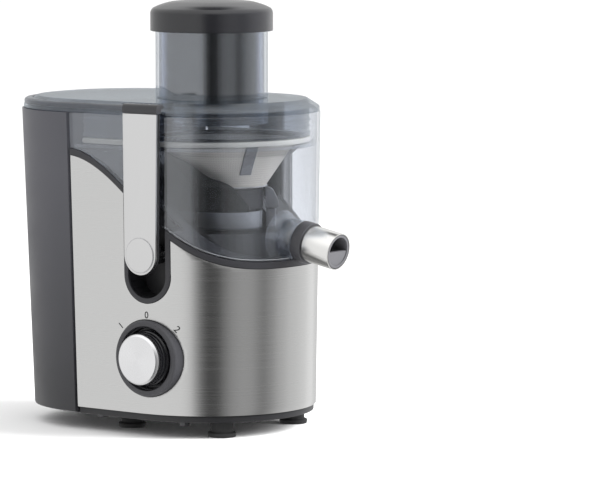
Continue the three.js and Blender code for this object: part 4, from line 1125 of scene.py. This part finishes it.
# ---- camera and studio ----
def camera():
    back = Vector((
        math.sin(CAMERA_TURN) * math.cos(CAMERA_TILT),
        -math.cos(CAMERA_TURN) * math.cos(CAMERA_TILT),
        math.sin(CAMERA_TILT),
    ))
    right = Vector((math.cos(CAMERA_TURN), math.sin(CAMERA_TURN), 0))
    up = back.cross(right)
    data = bpy.data.cameras.new("camera")
    data.sensor_width = CAMERA_SENSOR
    data.lens = CAMERA_LENS
    data.clip_start, data.clip_end = 0.1, 100
    holder = in_scene("camera", data)
    holder.location = to_frame(back * CAMERA_REACH + right * CAMERA_ACROSS + up * CAMERA_HEIGHT)
    holder.rotation_mode = "QUATERNION"
    holder.rotation_quaternion = (-back).to_track_quat("-Z", "Y")
    bpy.context.scene.camera = holder


# Brightness of the studio round the object, by direction in degrees from the front towards the spout.
STUDIO = [
    (-180, 1.1), (-166, 0.8), (-143, 0.62), (-100, 0.8), (-60, 0.95), (-20, 0.97), (8, 0.94), (17, 0.82),
    (24, 0.42), (30, 0.16), (37, 0.06), (47, 0.085), (54, 0.24), (63, 0.38), (73, 0.44), (84, 0.43),
    (91, 0.33), (98, 0.24), (106, 0.36), (121, 0.6), (136, 0.78), (160, 0.92), (172, 1.08),
]
BRIGHTEST = 1.2
OVERHEAD = 1.34
OVERHEAD_GAP = 0.04
BACKDROP = 1.05
# A soft lamp on the spout's side: watts, radius and distance in metres, and its place.
LAMP_POWER = 150.0
LAMP_RADIUS = 0.45
LAMP_REACH = 1.3
LAMP_TURN = math.radians(118)
LAMP_RISE = math.radians(24)
LAMP_AIM = Vector((0, 0, 0.17))
FLOOR_RADIUS = 12.0


def facing(turn):
    """The level direction that lies a turn round from the front, towards the spout."""
    return Vector((math.sin(turn), -math.cos(turn), 0))


def studio():
    world = bpy.data.worlds.new("studio")
    bpy.context.scene.world = world
    world.use_nodes = True
    tree = world.node_tree
    tree.nodes.clear()

    def node(kind, *values, **settings):
        made = tree.nodes.new("ShaderNode" + kind)
        for key, value in settings.items():
            setattr(made, key, value)
        for socket, value in zip(made.inputs, values):
            if isinstance(value, bpy.types.NodeSocket):
                tree.links.new(value, socket)
            elif value is not None:
                socket.default_value = value
        return made

    direction = node("TexCoord").outputs["Generated"]
    split = node("SeparateXYZ", direction).outputs
    backwards = node("Math", split[1], -1.0, operation="MULTIPLY").outputs[0]
    turn = node("Math", split[0], backwards, operation="ARCTAN2").outputs[0]
    share = node("MapRange", turn, -math.pi, math.pi, 0.0, 1.0).outputs[0]
    ramp = node("ValToRGB", share)
    ramp.color_ramp.interpolation = "EASE"
    stops = ramp.color_ramp.elements
    while len(stops) > 1:
        stops.remove(stops[-1])
    for i, (degrees, level) in enumerate(STUDIO):
        spot = (degrees + 180) / 360
        stop = stops[0] if i == 0 else stops.new(spot)
        stop.position = spot
        stop.color = (*[level / BRIGHTEST] * 3, 1)
    around = node("Math", ramp.outputs[0], BRIGHTEST, operation="MULTIPLY").outputs[0]
    overhead = node("MapRange", split[2], 0.2, 0.8, 0.0, 1.0, interpolation_type="SMOOTHSTEP").outputs[0]
    level = node("Mix", data_type="FLOAT")
    tree.links.new(overhead, level.inputs[0])
    tree.links.new(around, level.inputs[2])
    # The light overhead has a narrow dark gap along the line of sight.
    sideways = node("VectorMath", direction, facing(CAMERA_TURN + math.pi / 2), operation="DOT_PRODUCT")
    ahead = node("VectorMath", direction, facing(CAMERA_TURN), operation="DOT_PRODUCT")
    width = node("Math", sideways.outputs["Value"], operation="ABSOLUTE").outputs[0]
    narrow = node("MapRange", width, 0.05, 0.22, 1.0, 0.0, interpolation_type="SMOOTHSTEP").outputs[0]
    near = node("MapRange", ahead.outputs["Value"], -0.8, -0.66, 0.0, 1.0).outputs[0]
    far = node("MapRange", ahead.outputs["Value"], -0.36, -0.2, 1.0, 0.0).outputs[0]
    depth = node("Math", near, far, operation="MULTIPLY").outputs[0]
    gap = node("Math", narrow, depth, operation="MULTIPLY").outputs[0]
    lit = node("MapRange", gap, 0.0, 1.0, OVERHEAD, OVERHEAD_GAP).outputs[0]
    tree.links.new(lit, level.inputs[3])
    seen = node("LightPath").outputs["Is Camera Ray"]
    shown = node("Mix", data_type="FLOAT")
    tree.links.new(seen, shown.inputs[0])
    tree.links.new(level.outputs[0], shown.inputs[2])
    shown.inputs[3].default_value = BACKDROP
    sky = node("Background", (1, 1, 1, 1), shown.outputs[0])
    node("OutputWorld", sky.outputs[0])


def side_lamp():
    """A soft lamp on the spout's side, which shows in no reflection."""
    box = bpy.data.lights.new("side_box", "POINT")
    box.shadow_soft_size = LAMP_RADIUS
    box.energy = LAMP_POWER
    lamp = in_scene("side_box", box)
    lamp.visible_glossy = False
    away = facing(LAMP_TURN) * math.cos(LAMP_RISE) + Vector((0, 0, math.sin(LAMP_RISE)))
    lamp.location = ORIGIN + LAMP_AIM + away * LAMP_REACH


def exposure():
    scene = bpy.context.scene
    scene.view_settings.view_transform = "Standard"
    scene.cycles.transparent_max_bounces = 32


def pale_floor():
    look = Look("pale floor", (0.985, 0.985, 0.985), 0.6)
    look.vary_color(look.noise(1.2), 0.01)
    look.surface.inputs["Specular IOR Level"].default_value = 0.1
    bm = bmesh.new()
    bmesh.ops.create_circle(bm, cap_ends=True, segments=128, radius=FLOOR_RADIUS)
    mesh = bpy.data.meshes.new("floor")
    bm.to_mesh(mesh)
    bm.free()
    mesh.materials.append(look.material)
    ground = in_scene("floor", mesh)
    ground.visible_glossy = False


steel_wrap()
wave_trim()
base_cover()
feet()
controls()
digits()
collector()
juice_chamber()
juice_guard()
juice_deflector()
spout_boss()
spout()
basket()
lid()
pusher()
container()
arm("front")
arm("rear")
carried_nodes()
camera()
studio()
side_lamp()
exposure()
pale_floor()
